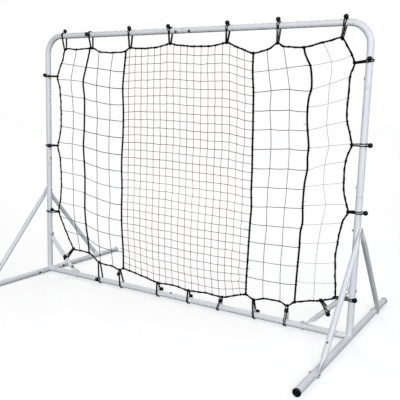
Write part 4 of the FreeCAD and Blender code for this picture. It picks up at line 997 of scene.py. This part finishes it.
# bungees: how each ball sits, an angle round the tube from the front or a share of the way to
# the rope, how far the loop is pulled along the tube in millimetres, and the ball's tilt in degrees
ballSeats = {
    "top_1": ("angle", 115, -9, -10), "top_2": ("angle", 0, -10, 0), "top_3": ("angle", 47, 0, 30),
    "top_4": ("angle", 39, 2, 0), "top_5": ("angle", 44, 6, 15), "top_6": ("angle", 52, 4, 3),
    "top_7": ("angle", 42, 13, 8), "right_1": ("angle", 15, 8, 20), "right_2": ("angle", 78, 2, -5),
    "right_3": ("angle", 84, 2, 0), "right_4": ("angle", 39, 7, 12), "right_5": ("angle", 42, -4, 0),
    "bottom_1": ("share", 0.05, 13, -15), "bottom_2": ("share", 0.75, 18, 30),
    "bottom_3": ("share", -0.15, 7, 5), "bottom_4": ("share", -0.1, 4, -20),
    "bottom_5": ("share", 0.75, -14, 30), "bottom_6": ("share", -0.05, 10, 15),
    "bottom_7": ("share", 0.78, -4, 30), "left_1": ("angle", -6, 2, 15),
    "left_2": ("share", 0.35, -1, 0), "left_3": ("share", 0.5, -4, 65),
    "left_4": ("share", 0.25, -6, -5),
}
# how far the strands of some loops lie from the loop's middle on the tube
wideLoops = {
    "right_2": 0.005, "right_3": 0.0045, "bottom_5": 0.004, "bottom_7": 0.0045, "top_3": 0.0035,
    "top_4": 0.0035,
}
bungee = {
    "cord": 0.0026, "gap": 0.0003, "sides": 8, "rings": 110, "steps": 360, "overBrace": 0.0193,
    "spread": 0.0038, "spreadReach": 0.015, "tubeSpread": 0.003, "closing": 0.7,
}
# from a surface to the middle of the cord on it, and from a loop's middle to each of its strands
around = bungee["cord"] + bungee["gap"]
shift = bungee["cord"] + bungee["gap"] / 2


def tubeBehind(name, tie):
    # the tube that a loop goes round: a point of its line, its way and its radius;
    # the corner braces rise outwards at 45 degrees, to braceOffset above the rail's end
    group = name.split("_")[0]
    if name in ("left_4", "right_5"):
        side = -1 if tie[0] < 0 else 1
        foot = np.array([0, 0, layout["railZ"] - layout["postX"] + layout["braceOffset"]])
        way = unit(np.array([side, 0.0, 1.0]))
        return foot + way * np.dot(tie - foot, way), way, layout["brace"]
    if group in ("left", "right"):
        side = -1 if group == "left" else 1
        return np.array([side * layout["postX"], 0, tie[2]]), np.array([0, 0, 1.0]), layout["tube"]
    height = layout["topZ"] if group == "top" else layout["railZ"]
    return np.array([tie[0], 0, height]), np.array([1.0, 0, 0]), layout["tube"]


def hullOf(circles, towards):
    # a tight loop round circles: at each angle it touches the circle that reaches furthest along
    # the normal there, where the reach is centre . normal + radius
    angle = np.linspace(0, 2 * math.pi, bungee["steps"], endpoint=False)
    normals = circled(angle, frontWay, towards)
    reach = np.stack([normals @ centre + radius for centre, radius in circles])
    best = np.argmax(reach, axis=0)
    centres = np.array([centre for centre, radius in circles])[best]
    radii = np.array([radius for centre, radius in circles])[best]
    return spacedOut(centres + radii[:, None] * normals, bungee["rings"], closed=True)


def hookBungee(name, kind, amount, pulled, tilt):
    # a ball's foot and way, its two strands and the way in which they lie side by side; the strands
    # go round the tube and the rope, and slant where the rope isn't square to them
    tie = borderCurve[borderAt(name)]
    ropeWay = unit(borderWay(borderAt(name), 2))
    axisPoint, axisWay, tubeRadius = tubeBehind(name, tie)
    axisPoint = axisPoint + axisWay * pulled / 1000
    apart = np.linalg.norm(tie - axisPoint)
    towards = (tie - axisPoint) / apart
    across = unit(np.cross(towards, frontWay))
    across = across * np.sign(across @ axisWay)
    oblique = axisWay @ towards
    rise = ropeWay @ towards - oblique * (ropeWay @ axisWay)
    slope = rise / (ropeWay @ axisWay - oblique * (ropeWay @ towards))
    tubeReach = tubeRadius / (axisWay @ across) + around
    tieReach = rope["border"] / abs(ropeWay @ across) + around
    tieReach = tieReach + abs(slope) * bungee["cord"] + bungee["gap"]
    if kind == "angle":
        turned = math.radians(amount)
        out = frontWay * math.cos(turned) - towards * math.sin(turned)
        seat = axisPoint + out * tubeReach
    else:
        # on the straight run, before the net for a positive share and behind it for a negative one
        face = frontWay * math.copysign(1, amount)
        lean = (tubeReach - tieReach) / apart
        out = face * math.sqrt(1 - lean**2) + towards * lean
        start = axisPoint + out * tubeReach
        seat = start + (tie + out * tieReach - start) * abs(amount)
    way = out * math.cos(math.radians(tilt)) + across * math.sin(math.radians(tilt))
    strands = []
    for side in (-1, 1):
        circles = [(axisPoint, tubeReach), (tie + towards * slope * side * shift, tieReach)]
        if name == "right_4":
            # the corner brace crosses this loop, which goes round both
            run = axisPoint - tie
            braceFrom = tie[2] - layout["railZ"] + layout["postX"] - layout["braceOffset"] - tie[0]
            bulge = tie + run * (braceFrom / (run[0] - run[2])) + towards * bungee["cord"]
            circles.insert(1, (bulge, bungee["overBrace"]))
        loop = hullOf(circles, towards)
        # the strands part round the ball's neck, and on the tube, and meet at the rope
        away = np.linalg.norm(loop - seat, axis=-1)
        parted = bungee["spread"] * np.exp(-((away / bungee["spreadReach"]) ** 2))
        nearTube = 1 - np.clip((loop - axisPoint) @ towards / apart, 0, 1)
        wide = max(wideLoops.get(name, bungee["tubeSpread"]) - shift, 0)
        parted = shift + np.maximum(parted, wide * nearTube ** bungee["closing"])
        strands.append(loop + axisWay * (side * parted)[:, None])
    return seat + way * around, way, strands, axisWay


hooked = [hookBungee(name, *seat) for name, seat in ballSeats.items()]
ballFeet, ballWays, strands, axisWays = zip(*hooked)
loopSides = np.repeat(axisWays, 2, axis=0)[:, None, :]
loops = tubeAlong(np.concatenate(strands), loopSides, bungee["cord"], bungee["sides"], closed=True)
makeTubes("bungeeLoops", loops, True, elasticCover, "bungee_cord", "bungee_cords")

# a ball's profile: flared neck with a lip, then the ball with a fine moulding line at its middle
ball = {
    "radius": 0.0116, "neck": 0.006, "rise": 0.012, "from": -1.02, "line": 0.00012, "lineWidth": 0.04,
    "rings": 22, "sides": 28,
}
neck = ball["neck"]
lip = np.array([
    [1e-5, 0.0004], [neck - 0.002, 0.0003], [neck - 0.0006, 0.0005], [neck, 0.0012],
    [neck - 0.0002, 0.0019],
])
turn = np.linspace(ball["from"], math.pi / 2, ball["rings"])
line = np.exp(-((turn / ball["lineWidth"]) ** 2)) * ball["line"]
radii = ball["radius"] * np.cos(turn) + line
sphere = np.stack([radii, ball["rise"] + ball["radius"] * np.sin(turn)], axis=-1)
sphere[-1, 0] = 1e-5
balls = turnedShape(np.concatenate([lip, sphere]), ballFeet, ballWays, ball["sides"])
makeTubes("bungeeBalls", balls, False, ballPlastic, "bungee_ball", "bungee_balls")
print("bungees hooked")

# end plugs: (radius, depth) from the tube's end outwards, with a groove and a dished face
plug = {"flange": 0.018, "face": 0.0060, "bore": 0.0144, "groove": 0.0004, "sides": 48}
flange, bore, grooved = plug["flange"], plug["bore"], plug["face"] - plug["groove"]
plugProfile = np.array([
    [1e-5, -0.024], [0.0112, -0.0245], [0.0142, -0.024], [bore, -0.0225], [bore, -0.0002],
    [flange - 0.0012, 0.0], [flange - 0.0003, 0.0003], [flange, 0.0012], [flange, 0.0030],
    [flange - 0.0004, 0.0042], [flange - 0.0015, 0.0053], [flange - 0.0032, 0.0059],
    [0.0126, plug["face"]], [0.0122, grooved], [0.0114, grooved], [0.0110, plug["face"]],
    [0.0070, 0.0058], [0.0022, 0.0057], [0.0019, 0.0052], [1e-5, 0.0051],
])
for sideName, side in (("left", -1), ("right", 1)):
    for endName, end in (("front", -1), ("rear", 1)):
        centre = np.array([[side * layout["postX"], end * layout["footEnd"], layout["footZ"]]])
        shape, along = turnedShape(plugProfile, centre, [[0, end, 0]], plug["sides"])
        # the plug stands on a small flat
        shape[..., 2] = np.maximum(shape[..., 2], 0)
        name = f"{endName}{sideName.capitalize()}Plug"
        node = f"foot_plug_{endName}_{sideName}"
        makeTubes(name, (shape, along), False, plugPlastic, "end_plug", node)
print("plugs moulded")

# weld beads round the foot of each base post and of its rail stub
bead = {"radius": 0.0021, "ripple": 0.12, "ripples": 46, "count": 184, "sides": 8, "height": 0.98}


def weldBeads():
    # a tube along each seam, whose radius ripples by 1 + ripple sin(ripples t)
    r = layout["tube"]
    t = np.linspace(0, 2 * math.pi, bead["count"], endpoint=False)
    paths = []
    for side in (-1, 1):
        # post on foot: two equal tubes at right angles meet where the height is |r sin(t)|
        x = side * layout["postX"] + r * np.cos(t)
        z = layout["footZ"] + r * np.abs(np.sin(t)) * bead["height"]
        paths.append(np.stack([x, r * np.sin(t), z], axis=-1))
        # rail stub on post and foot: it ends where it meets the nearer of the two tubes
        y = r * np.cos(t)
        z = layout["railZ"] + r * np.sin(t)
        meets = np.maximum(r**2 - y**2, r**2 - (z - layout["footZ"]) ** 2)
        x = side * (layout["postX"] - np.sqrt(np.maximum(meets, 0)))
        paths.append(np.stack([x, y, z], axis=-1))
    # the seams' sharp turns are rounded by three averages of neighbouring points
    smooth = np.array(paths)
    for _ in range(3):
        smooth = (np.roll(smooth, 1, axis=1) + smooth + np.roll(smooth, -1, axis=1)) / 3
    middle = smooth.mean(axis=1, keepdims=True)
    outwards = unit(smooth - middle)
    shape, along = tubeAlong(smooth, outwards, bead["radius"], bead["sides"], closed=True)
    wave = 1 + bead["ripple"] * np.sin(t * bead["ripples"])[None, :, None, None]
    shape = smooth[:, :, None, :] + (shape - smooth[:, :, None, :]) * wave
    makeTubes("weldBeads", (shape, along), True, coat, "powder_coat")


weldBeads()

# a dark rivet low on each corner brace, on the front of the left one and the back of the right
rivet = {
    "along": 0.062, "radius": 0.0072, "proud": 0.003, "sunk": 0.002, "rings": 7, "sides": 20,
    "ways": {-1: (0.60, -0.52, 0.60), 1: (-0.35, 0.87, 0.35)},
}


def cornerRivets():
    # a domed head: radius cos(t) and height sin(t) turned about its way, sunk a little into the tube
    t = np.linspace(0, math.pi / 2, rivet["rings"])
    dome = np.stack([rivet["radius"] * np.cos(t) + 1e-5, rivet["proud"] * np.sin(t)], axis=-1)
    profile = np.concatenate([[[1e-5, -rivet["sunk"]], [rivet["radius"], -rivet["sunk"]]], dome])
    height = layout["railZ"] + layout["braceOffset"] - layout["braceRun"]
    centres = []
    ways = []
    for side, lean in rivet["ways"].items():
        foot = np.array([side * (layout["postX"] - layout["braceRun"]), 0, height])
        up = unit(np.array([side, 0.0, 1.0]))
        way = unit(np.array(lean))
        centres.append(foot + up * rivet["along"] + way * layout["brace"])
        ways.append(way)
    heads = turnedShape(profile, centres, ways, rivet["sides"])
    makeTubes("cornerRivets", heads, False, buttonMetal, "zinc_hardware")


cornerRivets()

# pressed steel rings round the frame's snap buttons, curved to lie on their tubes
collar = {
    "inner": 0.0054, "outer": 0.0082, "height": 0.0010, "sunk": 0.0004, "buttonProud": 0.0033,
    "crown": 0.0003, "sides": 28,
}
# the way of the tube that a button sits in, by a word in the button's name
runs = {"rail": (1.0, 0.0, 0.0), "post": (0.0, 0.0, 1.0), "foot": (0.0, 1.0, 0.0)}


def buttonRings():
    # a flat ring round each button, bent over its tube of radius R: a point at height h and b across
    # the tube comes to the height sqrt((R + h)2 - b2) - R
    inner, outer, height = collar["inner"], collar["outer"], collar["height"]
    profile = np.array([
        [inner, -collar["sunk"]], [outer, -collar["sunk"]], [outer, 0.0002],
        [outer - 0.0008, height * 0.8], [inner + 0.0006, height], [inner, height * 0.8],
    ])
    centres = []
    ways = []
    acrosses = []
    for joint in frame["joints"]:
        name = joint["name"].replace("press_", "")
        # the braces' buttons have none
        if "brace" in name:
            continue
        # the middle of the button's crown, brought down to the tube's surface
        node = frame["nodes"]["snap_button_" + name]
        corners = np.empty(len(node.data.vertices) * 3)
        node.data.vertices.foreach_get("co", corners)
        turn = np.array(node.matrix_world)
        corners = corners.reshape(-1, 3) @ turn[:3, :3].T + turn[:3, 3]
        way = -unit(np.array(joint["axis"], dtype=float))
        reach = corners @ way
        tip = corners[reach > reach.max() - collar["crown"]].mean(axis=0)
        tip += way * (reach.max() - tip @ way - collar["buttonProud"])
        run = next(np.array(runs[kind]) for kind in runs if kind in name)
        centres.append(tip)
        ways.append(way)
        acrosses.append(unit(np.cross(run, way)))
    shape, along = turnedShape(profile, centres, ways, collar["sides"])
    ways = np.array(ways)[:, None, None, :]
    radius = layout["tube"]
    offset = shape - np.array(centres)[:, None, None, :]
    lift = (offset * ways).sum(axis=-1)
    across = (offset * np.array(acrosses)[:, None, None, :]).sum(axis=-1)
    bent = np.sqrt((radius + lift) ** 2 - across**2) - radius
    shape = shape + ways * (bent - lift)[..., None]
    makeTubes("buttonRings", (shape, along), True, buttonMetal, "snap_button")


buttonRings()

# loose ends of twine at a few knots: x, height, lean and curl in millimetres
tails = {
    "radius": 0.001, "from": 3.5, "forward": 6, "sides": 5, "rings": 12,
    "ends": [(-568, 1356, 12, 13), (-351, 1375, -9, 12), (-84, 1389, 11, -10), (709, 1262, -26, 6),
             (728, 1362, 10, 6), (709, 990, -13, 8), (429, 248, 22, -8), (430, 640, 10, -8),
             (428, 100, -12, -8), (-652, 153, 9, -11), (-388, 224, -13, -6), (-463, 99, -8, -12),
             (-398, 590, 16, -12), (430, 440, -22, 14), (717, 620, 11, 8), (-695, 722, 10, 8)],
}


def looseTails():
    # a tail leaves its knot forwards and bends over: x + lean t, height + curl t2, and forwards
    # by a sine of t
    t = np.linspace(0, 1, tails["rings"])
    depth = -tails["from"] - tails["forward"] * np.sin(math.pi * t * 0.8)
    paths = []
    for x, height, lean, curl in tails["ends"]:
        path = np.stack([x + lean * t, depth, height + curl * t**2], axis=-1)
        paths.append(path / 1000 + [0, 0, layout["railZ"]])
    tubes = tubeAlong(np.array(paths), backWay, tails["radius"], tails["sides"])
    makeTubes("looseTails", tubes, False, greyTwine, "net_twine")


looseTails()
print("details added")

# floor, backdrop light and lamps
stage = {
    "floor": 0.50, "bounce": 0.07, "nearGlow": 0.595, "farGlow": 0.856, "near": 3.3, "far": 9.6,
    "sides": 0.58, "above": 0.10, "sky": shade(0.98, 0.985, 1.0), "spread": 60, "floorZ": -0.0005,
    "aimZ": 0.7,
}


def makeFloor():
    # seen straight on it glows up to white but keeps its shadows; towards the object it's darker
    finish = Finish("paleFloor")
    finish.done(colour=grey(stage["floor"]), rough=0.9, gloss=0.0)
    seen = finish.node("ShaderNodeLightPath")
    # the glow makes up for the lamps' falling off with distance
    away = finish.node("ShaderNodeVectorMath", {"operation": "LENGTH"}, {0: finish.place()}, "Value")
    nearFar = away.ramp(stage["near"], stage["far"])
    level = finish.mix(nearFar, grey(stage["nearGlow"]), grey(stage["farGlow"]))
    glow = finish.node("ShaderNodeEmission", values={"Color": level, "Strength": 1.0})
    body = Value(finish, finish.shader.outputs["BSDF"])
    bright = finish.node("ShaderNodeAddShader", values={0: body, 1: glow})
    dark = finish.node("ShaderNodeBsdfDiffuse", values={"Color": grey(stage["bounce"])})
    both = finish.node("ShaderNodeMixShader", values={0: seen, 1: dark, 2: bright})
    finish.feed(finish.surface, both)
    mesh = bpy.data.meshes.new("floor")
    reach = stage["spread"]
    corners = [(-reach, -reach, 0), (reach, -reach, 0), (reach, reach, 0), (-reach, reach, 0)]
    mesh.from_pydata(corners, [], [(0, 1, 2, 3)])
    mesh.materials.append(finish.material)
    floor = bpy.data.objects.new("floor", mesh)
    floor.location.z = stage["floorZ"]
    bpy.context.scene.collection.objects.link(floor)


def makeWorld():
    # plain white behind everything for the camera, and a soft light for what the object sees
    world = bpy.data.worlds.new("studio")
    bpy.context.scene.world = world
    sky = Tree(world)
    toCamera = sky.node("ShaderNodeLightPath", out="Is Camera Ray")
    # walls brighter than the ceiling: the strength falls evenly from the sides to straight above
    way = sky.node("ShaderNodeNewGeometry", out="Incoming")
    down = sky.node("ShaderNodeSeparateXYZ", values={0: way}, out="Z")
    ends = {"From Min": 0.0, "From Max": -1.0, "To Min": stage["sides"], "To Max": stage["above"]}
    level = sky.node("ShaderNodeMapRange", values={"Value": down, **ends})
    soft = sky.node("ShaderNodeBackground", values={"Color": stage["sky"], "Strength": level})
    white = sky.node("ShaderNodeBackground", values={"Color": grey(1), "Strength": 1.0})
    both = sky.node("ShaderNodeMixShader", values={0: toCamera, 1: soft, 2: white})
    sky.end("ShaderNodeOutputWorld", both)


# each lamp's place, size, power and tint
lamps = {
    "keyLamp": ((4.4, -6.6, 3.2), 3.0, 400, (0.93, 0.95, 1.0)),
    "frontLamp": ((0.4, -4.4, 1.3), 1.5, 52, (1.0, 0.985, 0.96)),
    "rightLamp": ((5.2, 0.8, 3.0), 2.5, 62, (0.86, 0.91, 1.0)),
    "backLamp": ((-2.6, 4.2, 4.8), 3.5, 180, (1.0, 0.99, 0.97)),
}


def makeLamp(name, place, size, power, tint):
    # a square lamp that is turned towards the middle of the object
    data = bpy.data.lights.new(name, "AREA")
    data.shape = "SQUARE"
    data.size = size
    data.energy = power
    data.color = tint
    lamp = bpy.data.objects.new(name, data)
    lamp.location = place
    aim = Vector((0, 0, stage["aimZ"])) - Vector(place)
    lamp.rotation_euler = aim.to_track_quat("-Z", "Y").to_euler()
    bpy.context.scene.collection.objects.link(lamp)


makeFloor()
makeWorld()
for name, settings in lamps.items():
    makeLamp(name, *settings)
bpy.context.scene.view_settings.view_transform = "Standard"
print("stage lit")
